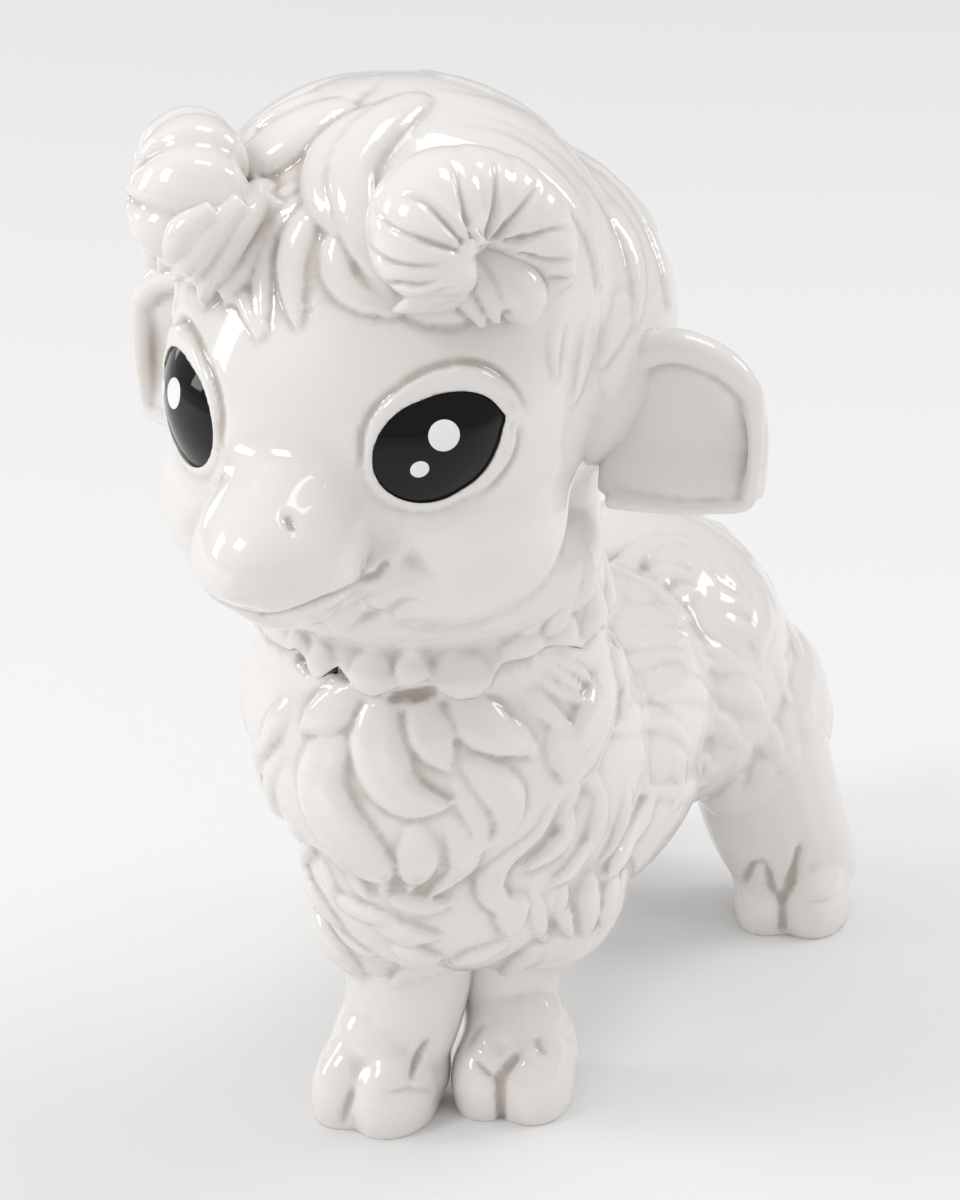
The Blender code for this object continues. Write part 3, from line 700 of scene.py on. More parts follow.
seam_marks = [on_collar(x, y) for x, y in SEAM]
REAR_END, REAR_START = seam_marks[0][0] + math.tau, seam_marks[-1][0]


def rear_turn(scallop):
    """The turn about the neck of a scallop that the picture doesn't show, counted from the goat's left."""
    return REAR_START + (REAR_END - REAR_START) * scallop / REAR_SCALLOPS


for half in range(1, 2 * REAR_SCALLOPS):
    seam_marks.append((rear_turn(half / 2), REAR_CREST if half % 2 else REAR_DIP))
SEAM_TURNS, SEAM_HEIGHTS = zip(*sorted(seam_marks))


def seam_height(turn):
    """How high the scalloped joint between jar and lid lies at a turn about the neck."""
    marks = np.mod(SEAM_TURNS, math.tau)
    height = np.interp(turn % math.tau, marks, SEAM_HEIGHTS, period=math.tau)
    return float(np.clip(height, SEAM_LOW, SEAM_HIGH))


def turned(profile, steps=240):
    """Spins a closed outline of (radius, height) round the neck's axis.

    A height under NEAR_JOINT is measured from the scalloped joint.
    """
    shape = bmesh.new()
    corners = [
        shape.verts.new(Vector((NECK[0] + radius, NECK[1], height)) * MM) for radius, height in profile
    ]
    edges = [shape.edges.new((corners[i - 1], corners[i])) for i in range(len(corners))]
    bmesh.ops.spin(
        shape, geom=corners + edges, cent=Vector((*NECK, 0)) * MM, axis=(0, 0, 1), angle=math.tau,
        steps=steps, use_merge=True,
    )
    bmesh.ops.remove_doubles(shape, verts=shape.verts, dist=1e-6)
    for corner in shape.verts:
        if corner.co.z < NEAR_JOINT * MM:
            turn = math.atan2(corner.co.x - NECK[0] * MM, NECK[1] * MM - corner.co.y)
            corner.co.z += seam_height(turn) * MM
    bmesh.ops.recalc_face_normals(shape, faces=shape.faces)
    return from_bmesh(shape, "turned")


shoulder = bar(NECK, COLLAR_RADIUS + 1.5, COLLAR_RADIUS, 118, 146)
plain_body = modelled([ball(*mass) for mass in BODY_BALLS] + [shoulder], 1.8, 10)
body_skin = tree_of(plain_body)
print("plain body", len(plain_body.data.polygons), "faces")

# %% [markdown]
# ## Wool on the body
#
# The chest has heavy S-shaped curls that overlap like tiles. Those that face the camera are read off the
# picture as strokes: a width, then the pixels of the curl's middle line. Round the sides and the back, where
# nothing shows, the same kind of curl follows a rule in rows.

# %% Lay the body's wool
CHEST_STROKES = [
    (66, (338, 734), (320, 766), (323, 800), (348, 834), (374, 862), (384, 894)),
    (60, (382, 700), (376, 744), (388, 780), (414, 804), (450, 803)),
    (46, (420, 700), (426, 736), (450, 770)),
    (46, (468, 760), (492, 780), (509, 806), (504, 830), (482, 846)),
    (24, (454, 776), (468, 800), (480, 826), (480, 850)),
    (42, (412, 824), (424, 856), (410, 890)),
    (32, (448, 818), (468, 846), (460, 874), (430, 894)),
    (36, (556, 802), (540, 830), (510, 852), (487, 876), (492, 902), (522, 914)),
    (38, (506, 896), (518, 914), (504, 934)),
    (34, (574, 788), (572, 822), (550, 850), (522, 868)),
    (30, (600, 786), (600, 826), (580, 858), (548, 884)),
    (26, (628, 784), (622, 824), (602, 860)),
    (34, (656, 786), (644, 818), (620, 852), (602, 878)),
    (18, (530, 884), (534, 914), (546, 944)),
    (22, (562, 884), (560, 914), (572, 938)),
    (26, (588, 872), (590, 904), (584, 936)),
    (30, (614, 866), (610, 896), (598, 930)),
    (18, (322, 858), (326, 878), (340, 896)),
    (20, (334, 856), (346, 880), (378, 902)),
    (24, (388, 898), (418, 906), (452, 902)),
    (24, (330, 892), (352, 908), (396, 918)),
    (30, (508, 946), (478, 949), (452, 962)),
    (22, (538, 942), (526, 962), (500, 972)),
    (50, (450, 702), (478, 722), (522, 752)),
    (20, (500, 716), (518, 734), (536, 756)),
    (40, (552, 722), (564, 750), (568, 780)),
    (44, (354, 692), (334, 710), (302, 728)),
    (24, (290, 700), (274, 728), (264, 756)),
    (24, (286, 744), (268, 772), (274, 800), (288, 828)),
    (22, (264, 738), (259, 768), (270, 800)),
    (26, (296, 824), (300, 850), (312, 874)),
    (30, (306, 866), (318, 896), (334, 918)),
    (34, (318, 912), (342, 934), (376, 954)),
    (30, (372, 922), (404, 932), (440, 936)),
    (34, (392, 944), (414, 954), (442, 958)),
    (30, (430, 972), (404, 984), (380, 988)),
]
FLANK_STROKES = [
    (44, (596, 600), (612, 566), (648, 540), (690, 536), (704, 556)),
    (36, (628, 606), (644, 580), (672, 566), (694, 580)),
    (28, (660, 610), (676, 592), (700, 588)),
    (24, (668, 560), (690, 552), (704, 566), (694, 584)),
    (26, (708, 552), (722, 568), (740, 590)),
    (24, (700, 590), (722, 600), (744, 604)),
    (24, (730, 596), (752, 612), (776, 628)),
    (22, (706, 612), (734, 626), (762, 640)),
    (26, (748, 560), (764, 584), (778, 612)),
    (30, (610, 616), (648, 620), (690, 618)),
    (30, (616, 644), (650, 634), (690, 640)),
    (30, (600, 668), (636, 656), (680, 654)),
    (34, (690, 640), (712, 660), (744, 666)),
    (34, (764, 640), (784, 668), (790, 700)),
    (36, (620, 690), (660, 680), (700, 690), (718, 710)),
    (36, (600, 720), (640, 712), (676, 724), (690, 750)),
    (34, (716, 680), (744, 690), (764, 714)),
    (34, (700, 716), (724, 724), (742, 746)),
    (32, (760, 720), (778, 742), (780, 768)),
    (32, (730, 736), (744, 752), (738, 782), (722, 800)),
    (30, (686, 756), (706, 764), (716, 788), (706, 810)),
    (30, (660, 744), (680, 762), (684, 790), (672, 812)),
    (30, (630, 744), (646, 764), (646, 794)),
    (28, (784, 744), (796, 758), (788, 780)),
    (28, (762, 748), (768, 770), (756, 790)),
    (30, (798, 690), (810, 712), (808, 742)),
    (30, (590, 760), (606, 778), (600, 806)),
]
COLLAR_PITS = [
    ([(334, 673), (345, 678)], 2.2, 2.3, 0.0),
    ([(298, 660), (306, 668)], 2.4, 2.4, 0.0),
    ([(392, 698), (412, 696), (432, 692)], 2.4, 2.6, 0.3),
]
TUFTS = [
    (10, (540, 646), (566, 661), (592, 682)),
    (9, (538, 656), (558, 674), (582, 690)),
    (10, (536, 674), (560, 694), (588, 703)),
    (10, (526, 682), (546, 708), (570, 729)),
    (9, (517, 684), (532, 708), (560, 728)),
]
WOOL = {"Root lift": -0.0006, "Strands": 2.0, "Strand depth": 0.16, "Finish": WHITE}
HEAVY_WOOL = {**WOOL, "Thickness": 0.50, "Tip lift": 0.0014}
LIGHT_WOOL = {**WOOL, "Thickness": 0.24, "Root lift": -0.0008, "Tip lift": 0.0004, "Strand depth": 0.2}
BARREL_RADIUS = 44

visible = traced(body_skin, CHEST_STROKES + TUFTS)
flank = traced(body_skin, FLANK_STROKES)
back_rows = []
for row in range(7):
    forward = -8 + 21 * row
    for column in range(7):
        turn = math.radians(-72 + 24 * (column + 0.5 * (row % 2)))
        start = (BARREL_RADIUS * math.sin(turn), forward, 84 + BARREL_RADIUS * math.cos(turn))
        if start[0] < 12:
            way = (math.sin(turn) * 0.9, 0.8, -0.3)
            curl = 0.55 if (row + column) % 2 else -0.5
            back_rows.append(crept(body_skin, start, way, 27, 10.5, curl))
rump = []
for row in range(4):
    for column in range(7):
        turn = math.radians(-78 + 26 * (column + 0.5 * (row % 2)))
        start = (BARREL_RADIUS * math.sin(turn), 82 + 46 * math.cos(turn), 112 - 17 * row)
        if start[0] < 30 or row < 1:
            way = (math.sin(turn) * 0.3, 0.2, -1.0)
            rump.append(crept(body_skin, start, way, 26, 10.5, 0.5 if column % 2 else -0.5))
far_chest = []
for row, height in enumerate((122, 106, 90, 74, 60)):
    for column in range(4):
        turn = math.radians(-62 - 22 * (column + 0.5 * (row % 2)))
        start = (BARREL_RADIUS * math.sin(turn), -30 - 46 * math.cos(turn), height)
        curl = 0.5 if (row + column) % 2 else -0.5
        far_chest.append(crept(body_skin, start, (0.2, 0.1, -1.0), 32, 11.5, curl))
ruff = []
for tuft in range(9):
    outward = bearing(math.radians(88 + 170 * tuft / 8))
    start = Vector((*NECK, 129)) + outward * 50
    way = outward * 0.7 - Vector((0, 0, 1))
    ruff.append(crept(body_skin, start, way, 26, 11.5, 0.4 if tuft % 2 else -0.4))

heavy = wool(plain_body, visible + far_chest + ruff, **HEAVY_WOOL)
light = wool(plain_body, flank + mirrored(flank) + back_rows + rump, **LIGHT_WOOL)
neck = bar(NECK, NECK_FOOT_RADIUS, NECK_RADIUS, NECK_FOOT - 6, NECK_TOP)
fleece = modelled([plain_body, neck, heavy, light], 0.9, 3)
halo = turned([
    (NECK_FOOT_RADIUS, 0), (HALO_RADIUS, 0), (HALO_RADIUS, HALO_TOP), (HALO_BORE, HALO_TOP),
    (HALO_BORE, NECK_TOP), (NECK_RADIUS, NECK_TOP),
])
fleece = carved(fleece, halo)
mouth = bar(NECK, MOUTH_RADIUS, MOUTH_RADIUS, MOUTH_FLOOR, MOUTH_CUT_TOP)
fleece = carved(fleece, modelled([ball(*mass) for mass in CAVITY_BALLS] + [mouth], 2.5, 3))
pressed(fleece, laid_on(tree_of(fleece), COLLAR_PITS))
white_piece(thinned(fleece), "fleece_body", "jar", "body")

# %% [markdown]
# ## Legs and tail
#
# The legs are smooth, with soft cloven hooves whose toes meet in a V. They go up under the hem of the wool.
# The hind right leg, which the picture hides, is the hind left one flipped and set further forward.

# %% Shape the legs
LEGS = {
    "front_left_leg": {
        "foot": (11.6, -15.0), "toe": 12, "knee": (5.6, -13.5, 33), "hip": (9.0, -12.5, 70),
        "ankle": 12.5, "thick": 11.6, "top": 14.5,
    },
    "front_right_leg": {
        "foot": (-14.8, -34.5), "toe": -4, "knee": (-8.0, -30.0, 32), "hip": (-11.6, -30.0, 70),
        "ankle": 13.6, "thick": 16.2, "top": 17.5,
    },
    "hind_left_leg": {
        "foot": (35.0, 113.0), "toe": 14, "knee": (28.8, 107.0, 29), "hip": (27.0, 100.0, 62),
        "ankle": 16.2, "thick": 20.4, "top": 17.8,
    },
}
HIND_RIGHT_FOOT = (-34.5, 99.0)
CLAW_RADII = (10.0, 15.5, 15.5)
CLAW_SPREAD, CLAW_FORWARD, CLAW_HEIGHT = 5.2, 5.0, 7.0
CLAW_PITCH, CLAW_SPLAY = 8, 5
HEEL_RADII, PASTERN_RADII = (14.5, 14.0, 17.0), (13.0, 13.0, 13.0)
HEEL_BACK, HEEL_HEIGHT, ANKLE_HEIGHT, PASTERN_HEIGHT = 3.0, 10, 14, 19
UNDERGROUND = (-200, -200, -50), (200, 200, 0)
LEG_PRESSES = {
    "front_left_leg": [
        ([(474, 1060), (486, 1071), (499, 1080)], 2.2, 1.3, 0.4),
        ([(518, 1055), (508, 1066), (500, 1079)], 2.2, 1.5, 0.4),
        ([(500, 1078), (500, 1100), (501, 1124)], 2.0, 1.5, 0.0),
        ([(473, 1060), (469, 1046), (478, 1030), (496, 1020)], 2.4, 0.5, 0.5),
        ([(538, 1036), (541, 1048), (550, 1055)], 3.0, 0.9, 0.5),
    ],
    "front_right_leg": [
        ([(411, 1082), (417, 1062), (429, 1040)], 2.2, 1.6, 0.5),
        ([(384, 1094), (408, 1089), (434, 1092)], 2.0, 0.7, 0.5),
        ([(352, 1090), (346, 1108), (342, 1124)], 2.0, 0.8, 0.3),
    ],
    "hind_left_leg": [
        ([(763, 862), (771, 884), (782, 898)], 2.6, 1.5, 0.4),
        ([(800, 846), (794, 872), (783, 898)], 2.4, 1.8, 0.4),
        ([(782, 896), (782, 912), (782, 928)], 2.0, 1.1, 0.0),
        ([(742, 882), (751, 868), (760, 862)], 2.6, 1.2, 0.5),
        ([(802, 902), (820, 901), (838, 898)], 1.8, 0.5, 0.5),
    ],
}


def leg_piece(foot, toe, ankle, knee, hip, thick, top):
    """One leg: two claws side by side, a heel and a pastern, and a round shin up into the wool."""
    foot = Vector((*foot, 0.0))
    turn = Matrix.Rotation(math.radians(toe), 3, "Z")
    shapes = []
    for side in (-1, 1):
        offset = turn @ Vector((side * CLAW_SPREAD, -CLAW_FORWARD, CLAW_HEIGHT))
        tilt = Euler((math.radians(CLAW_PITCH), 0.0, math.radians(toe + side * CLAW_SPLAY)))
        shapes.append(ball(foot + offset, CLAW_RADII, tilt))
    heel = turn @ Vector((0.0, HEEL_BACK, 0.0))
    start = foot + heel * 0.6 + Vector((0, 0, ANKLE_HEIGHT))
    shapes += [
        ball(foot + heel + Vector((0, 0, HEEL_HEIGHT)), HEEL_RADII),
        ball(foot - heel * 0.5 + Vector((0, 0, PASTERN_HEIGHT)), PASTERN_RADII),
        ball(start, (ankle, ankle, ankle)),
        roll([start, Vector(knee), Vector(hip)], [ankle, thick, top]),
    ]
    return modelled(shapes, 0.9, 36)


def finished_leg(leg, name):
    leg = carved(leg, block(*UNDERGROUND))
    return white_piece(leg, "glazed_" + name, "jar", name)


glazed_legs = {}
for name, leg in LEGS.items():
    plain_leg = leg_piece(**leg)
    pressed(plain_leg, laid_on(tree_of(plain_leg), LEG_PRESSES[name]))
    glazed_legs[name] = finished_leg(plain_leg, name)
near = LEGS["hind_left_leg"]["foot"]
far_leg = flipped(glazed_legs["hind_left_leg"])
shift = Vector((near[0] + HIND_RIGHT_FOOT[0], HIND_RIGHT_FOOT[1] - near[1], 0)) * MM
far_leg.data.transform(Matrix.Translation(shift))
finished_leg(far_leg, "hind_right_leg")

# The tail isn't in the picture, so it is a plain short stub.
TAIL_LINE = [(0, 117, 90), (0, 129, 90), (0, 138.6, 88), (0, 140.0, 74.5)]
TAIL_RADII = [6, 7.5, 8.0, 4.5]
white_piece(modelled([roll(TAIL_LINE, TAIL_RADII)], 0.8, 4), "glazed_tail", "jar", "tail")

# %% [markdown]
# ## The head
#
# The head is a big round skull with full cheeks and a short blunt muzzle. It is hollow, and a ring below it
# drops into the neck.

# %% Shape the plain head
HEAD_BALLS = [
    ((0, -67, 203), (49.5, 52, 51)),
    ((0, -58, 224), (50, 50, 48)),
    ((0, -33, 209), (56.5, 47, 46.5)),
    ((20, -78, 177), (29, 30, 26)),
    ((-20, -78, 177), (29, 30, 26)),
    ((0, -40, 172), (39, 40, 28)),
]
MUZZLE_BALLS = [
    ((0, -115, 187), (19, 32, 15.5), 13),
    ((7.2, -123, 180), (12.8, 16.5, 13.8), 0),
    ((-7.2, -123, 180), (12.8, 16.5, 13.8), 0),
    ((0, -106, 197), (18.5, 27, 13), 32),
    ((0, -107, 172), (16.5, 24.5, 9.5), 14),
]
RING_RADIUS, RING_BORE, RING_FOOT, RING_TOP = 29.0, 24.5, 128.5, 150.0
THROAT_RADIUS, THROAT_TOP = 39.5, 176.0
SKIRT_FOOT, SKIRT_TOP = 126.0, 150.0
GULLET_BALL = (0, -52, 158), (46, 43, 22)


def tilted(centre, radii, pitch=0):
    return ball(centre, radii, Euler((math.radians(pitch), 0, 0)))


plain_head = modelled([tilted(*mass) for mass in HEAD_BALLS + MUZZLE_BALLS], 2.0, 20)
head_skin = tree_of(plain_head)
throat = bar(NECK, COLLAR_RADIUS, THROAT_RADIUS, NECK_TOP, THROAT_TOP)
skirt = bar(NECK, COLLAR_RADIUS + 1.0, COLLAR_RADIUS, SKIRT_FOOT, SKIRT_TOP)
collar_form = modelled([copied(plain_head), throat, skirt, ball(*GULLET_BALL)], 1.6, 10)
collar_skin = tree_of(collar_form)
print("plain head", len(plain_head.data.polygons), "faces")

# %% [markdown]
# ## Eye sockets
#
# Each eye is a wide almond with a sharp outer corner. Its outline is read off the picture and cast on the
# eye's plane. A smooth bowl fitted to the skull carries the glassy black, and a thin rim and a heavy upper
# lid lie round it.

# %% Shape the eyes and lids
EYE_CENTRE = Vector((31.5, -105.0, 204.5)) * MM
EYE_YAW, EYE_PITCH = math.radians(53), math.radians(4)
EYE_OUTLINE = [
    (371, 462), (372, 448), (377, 435), (385, 423), (400, 409), (420, 400), (440, 393), (455, 391),
    (470, 391), (482, 394), (492, 400), (500, 409), (506, 416), (502, 430), (496, 450), (489, 464),
    (475, 480), (460, 490), (440, 500), (420, 503), (402, 500), (388, 493), (377, 482), (372, 470),
]
LID_LINE = [
    (366, 462), (367, 444), (373, 424), (387, 406), (406, 392), (430, 382), (455, 375), (480, 377),
    (500, 390), (512, 405),
]
LID_RADII = [1.0, 1.5, 2.0, 2.4, 2.7, 2.9, 3.0, 2.8, 2.2, 1.2]
UNDER_LID_LINE = [(516, 410), (514, 432), (507, 455), (494, 475), (476, 490), (454, 502)]
UNDER_LID_RADII = [1.2, 1.6, 1.7, 1.5, 1.2, 0.8]
LARGE_DOT, SMALL_DOT = (441, 434), (417, 468)
EYE_BULGE, EYE_DEPTH, EYE_SINK, EYE_TUCK = 1.9, 3.0, 0.2, 0.1
RIM_GAP, RIM_RADIUS = 0.8, 1.0

LOOK = Vector((
    math.sin(EYE_YAW) * math.cos(EYE_PITCH),
    -math.cos(EYE_YAW) * math.cos(EYE_PITCH),
    math.sin(EYE_PITCH),
))
LEVEL = Vector((0, 0, 1)).cross(LOOK).normalized()
RISE = LOOK.cross(LEVEL)


def bowl_terms(u, v):
    return [1.0, u, v, u * u, u * v, v * v]


samples, heights = [], []
for u in np.linspace(-17, 17, 9):
    for v in np.linspace(-12, 12, 7):
        if (u / 18) ** 2 + (v / 13) ** 2 < 1:
            above = EYE_CENTRE + (LEVEL * u + RISE * v + LOOK * 40) * MM
            place, _, _, _ = head_skin.ray_cast(above, -LOOK)
            samples.append(bowl_terms(u, v))
            heights.append((place - EYE_CENTRE).dot(LOOK) / MM)
BOWL = np.linalg.lstsq(np.array(samples), np.array(heights), rcond=None)[0]


def eye_place(u, v, lift):
    """A place in metres, so far along, up and out from the bowl that follows the skull."""
    height = float(np.dot(BOWL, bowl_terms(u, v))) + lift
    return EYE_CENTRE + (LEVEL * u + RISE * v + LOOK * height) * MM


def on_eye(x, y):
    """Where a line of sight meets the bowl, in millimetres along and up from the eye's centre."""
    way = sight(x, y)
    height = 0.0
    for _ in range(8):
        foot = EYE_CENTRE + LOOK * height * MM
        place = EYEPOINT + way * ((foot - EYEPOINT).dot(LOOK) / way.dot(LOOK)) - EYE_CENTRE
        u, v = place.dot(LEVEL) / MM, place.dot(RISE) / MM
        height = float(np.dot(BOWL, bowl_terms(u, v)))
    return u, v


def eye_roll(pixels, radii, lift):
    return roll([eye_place(*on_eye(x, y), lift) / MM for x, y in pixels], radii)


almond = np.array([on_eye(x, y) for x, y in EYE_OUTLINE])
EYE_MIDDLE = almond.mean(0)
spokes = almond - EYE_MIDDLE
turns = np.arctan2(spokes[:, 1], spokes[:, 0])
lengths = np.hypot(spokes[:, 0], spokes[:, 1])
order = np.argsort(turns)


def almond_reach(turn):
    return np.interp(turn, turns[order], lengths[order], period=math.tau) + EYE_TUCK


def eye_shape(grow, bulge=EYE_BULGE):
    """The black of one eye, a lens with the almond outline, or the space that it is set in."""
    shape = rounded(72, 32)
    for corner in shape.verts:
        x, y, z = corner.co
        turn, ratio = math.atan2(y, x), min(math.hypot(x, y), 1.0)
        reach = (almond_reach(turn) + grow) * ratio
        u = EYE_MIDDLE[0] + reach * math.cos(turn)
        v = EYE_MIDDLE[1] + reach * math.sin(turn)
        dome = bulge * (1 - ratio * ratio) + grow if z > 0 else -EYE_DEPTH * abs(z) - grow
        corner.co = eye_place(u, v, dome - EYE_SINK)
    bmesh.ops.recalc_face_normals(shape, faces=shape.faces)
    return from_bmesh(shape, "eye")


rim_line = [
    eye_place(*(EYE_MIDDLE + spoke * (1 + RIM_GAP / np.hypot(*spoke))), 0.0) / MM for spoke in spokes
]
corner_first = rim_line[12:] + rim_line[:13]
lids = [
    roll(corner_first, [RIM_RADIUS] * len(corner_first)),
    eye_roll(LID_LINE, LID_RADII, -1.1),
    eye_roll(UNDER_LID_LINE, UNDER_LID_RADII, -0.6),
]
lids += [flipped(lid) for lid in lids]
print("eye bowl", [round(float(term), 4) for term in BOWL])

# %% [markdown]
# ## Horns
#
# Each horn is a tapered tube coiled round a hub at the temple. A second tree sweeps it: the tube's radius
# dips at every rib, and a soft keel runs along its outer edge. The deep grooves that fan out from the near
# hub are pressed.

# %% Build the horn tree
HORN_STROKE = [
    (436, 284, 60), (427, 266, 88), (421, 243, 110), (429, 213, 112), (454, 198, 100), (480, 196, 92),
    (506, 204, 88), (531, 222, 82), (551, 246, 64), (561, 270, 44), (563, 286, 34),
]
HORN_GROOVES = [
    ([(452, 160), (460, 186), (467, 214), (475, 238)], 1.9, 2.0, -0.7),
    ([(494, 158), (497, 186), (495, 214), (487, 237)], 1.9, 2.0, -0.7),
    ([(540, 180), (528, 200), (511, 222), (494, 239)], 1.9, 1.9, -0.7),
    ([(576, 222), (556, 229), (532, 237), (506, 243)], 1.8, 1.7, -0.7),
    ([(588, 256), (566, 260), (542, 261), (522, 256)], 1.8, 1.4, -0.7),
    ([(582, 279), (566, 279), (546, 278)], 1.6, 1.0, 0.5),
    ([(400, 196), (424, 202), (444, 220), (464, 242)], 1.9, 1.7, -0.6),
    ([(372, 204), (390, 225), (418, 238), (458, 251)], 1.8, 1.3, -0.5),
    ([(368, 244), (388, 261), (412, 267), (442, 264)], 1.8, 1.1, 0.5),
    ([(378, 278), (396, 284), (416, 286), (440, 280)], 1.8, 1.0, 0.5),
]
HORN_STEPS, HORN_SIDES = 260, 48
HORN_LEAN, HORN_ROOT_SINK, HORN_TIP_SINK = 4, 14, 12
NEAR_RIB_DEPTH, FAR_RIB_DEPTH = 0.03, 0.15
KEEL_SIDE = (0.64, 0.77, 0.0)
HORN_HUB = Vector((38.5, -95.0, 247.5)) * MM
HORN_FACING = Vector((0.74, -0.60, 0.28)).normalized()


def on_horn(x, y, lift):
    """Where a line of sight meets the horn's plane, lifted so many millimetres off it."""
    way = sight(x, y)
    reach = (HORN_HUB - EYEPOINT).dot(HORN_FACING) / way.dot(HORN_FACING)
    return (EYEPOINT + way * reach) / MM + HORN_FACING * lift


def horn_tree():
    tree = new_tree("ribbed_horn", {
        "Facing": ("NodeSocketVector", None),
        "Ribs": ("NodeSocketFloat", 11.0),
        "Rib depth": ("NodeSocketFloat", 0.04),
        "Keel": ("NodeSocketFloat", 0.06),
        "Finish": ("NodeSocketMaterial", None),
    })
    given = put(tree, "NodeGroupInput").outputs
    steps = {"Curve": given["Geometry"], "Count": HORN_STEPS}
    line = put(tree, "GeometryNodeResampleCurve", steps, mode="COUNT")
    facing = {"Curve": line, "Normal": given["Facing"]}
    upright = put(tree, "GeometryNodeSetCurveNormal", facing, mode="FREE")
    share = put(tree, "GeometryNodeSplineParameter").outputs["Factor"]
    ribs = put(tree, "ShaderNodeMath", {0: share, 1: given["Ribs"]}, operation="MULTIPLY")
    phase = put(tree, "ShaderNodeMath", {0: ribs, 1: math.pi}, operation="MULTIPLY")
    wave = put(tree, "ShaderNodeMath", {0: phase}, operation="COSINE")
    crest = put(tree, "ShaderNodeMath", {0: wave}, operation="ABSOLUTE")
    valley = put(tree, "ShaderNodeMath", {0: crest, 1: 9.0}, operation="POWER")
    dip = put(tree, "ShaderNodeMath", {0: valley, 1: given["Rib depth"]}, operation="MULTIPLY")
    swell = put(tree, "ShaderNodeMath", {0: 1.0, 1: dip}, operation="SUBTRACT")
    radius = put(tree, "GeometryNodeInputRadius")
    size = put(tree, "ShaderNodeMath", {0: radius, 1: swell}, operation="MULTIPLY")
    round_line = put(tree, "GeometryNodeCurvePrimitiveCircle", {"Resolution": HORN_SIDES, "Radius": 1.0})
    where = put(tree, "GeometryNodeInputPosition")
    lean = put(tree, "ShaderNodeVectorMath", {0: where, 1: KEEL_SIDE}, operation="DOT_PRODUCT")
    above = put(tree, "ShaderNodeMath", {0: lean.outputs["Value"], 1: 0.0}, operation="MAXIMUM")
    sharp = put(tree, "ShaderNodeMath", {0: above, 1: 7.0}, operation="POWER")
    ridge = put(tree, "ShaderNodeMath", {0: sharp, 1: given["Keel"]}, operation="MULTIPLY")
    grown = put(tree, "ShaderNodeMath", {0: ridge, 1: 1.0}, operation="ADD")
    outline = put(tree, "ShaderNodeVectorMath", {0: where, "Scale": grown}, operation="SCALE")
    profile = put(tree, "GeometryNodeSetPosition", {"Geometry": round_line, "Position": outline})
    return swept(tree, upright, profile, size, given["Finish"])


def horn(rib_depth):
    """The left horn, its middle line read off the picture and cast on the horn's own plane."""
    inward = (Vector(HEAD_BALLS[0][0]) * MM - HORN_HUB).normalized()
    points, radii = [], []
    count = len(HORN_STROKE)
    for index, (x, y, wide) in enumerate(HORN_STROKE):
        lift = HORN_LEAN * (1 - 2 * index / (count - 1))
        points.append(on_horn(x, y, lift) * MM)
        radii.append(wide * DISTANCE / FOCAL_PIXELS / 2)
    root, tip = inward * HORN_ROOT_SINK * MM, inward * HORN_TIP_SINK * MM
    points = [points[0] + root] + points + [points[-1] + tip]
    radii = [radii[0]] + radii + [radii[-1] * 0.8]
    path = smooth_line([(*point, radius) for point, radius in zip(points, radii)], 80)
    curve = bpy.data.curves.new("horn", "CURVE")
    curve.dimensions = "3D"
    line = curve.splines.new("POLY")
    line.points.add(len(path) - 1)
    for slot, (x, y, z, radius) in zip(line.points, path):
        slot.co = (x, y, z, 1.0)
        slot.radius = radius
    thing = link(curve, "horn")
    step = thing.modifiers.new("Horn", "NODES")
    step.node_group = horn_tree()
    set_inputs(step, {"Facing": tuple(HORN_FACING), "Rib depth": rib_depth, "Finish": WHITE})
    return modelled([settled(thing)], 0.6, 2)


ribbed = horn(FAR_RIB_DEPTH)
right_horn = flipped(ribbed)
removed(ribbed)
left_horn = horn(NEAR_RIB_DEPTH)
pressed(left_horn, laid_on(tree_of(left_horn), HORN_GROOVES))
for thing, name in ((left_horn, "horn_left"), (right_horn, "horn_right")):
    white_piece(thing, "glazed_" + name, "lid", name)

# %% [markdown]
# ## Hair and collar
#
# The hair is swept forward from the crown into pointed locks on the forehead, and down the sides behind the
# horns. The collar is a row of fat, round tongues that hide the joint of the lid.

# %% Lay the hair
FRINGE_STROKES = [
    (68, (350, 104), (310, 128), (268, 156), (232, 188), (208, 214)),
    (30, (336, 92), (294, 110), (252, 132)),
    (28, (300, 184), (252, 220), (236, 256), (244, 300), (260, 338)),
    (26, (312, 190), (274, 222), (259, 256), (262, 300), (265, 334)),
    (34, (322, 194), (300, 228), (290, 262), (292, 300), (299, 328)),
    (44, (380, 108), (336, 140), (316, 180), (326, 220), (354, 246)),
    (32, (338, 224), (331, 262), (350, 298), (396, 315)),
    (20, (360, 248), (372, 284), (402, 312)),
    (54, (424, 96), (372, 132), (346, 170), (352, 214), (370, 262), (398, 300)),
    (40, (396, 302), (432, 302), (480, 315)),
]
FAR_LOCKS = [
    ([(276, 196), (254, 226), (242, 256), (236, 284), (232, 304)], [4.0, 6.4, 6.8, 5.6, 2.0]),
    ([(264, 190), (240, 214), (222, 242), (212, 270), (204, 302)], [3.5, 5.2, 5.4, 4.4, 1.4]),
    ([(240, 200), (214, 222), (197, 246), (186, 268), (172, 286)], [3.0, 4.8, 4.8, 3.6, 1.4]),
    ([(214, 208), (190, 224), (175, 242), (167, 262)], [2.6, 4.2, 3.8, 1.4]),
]
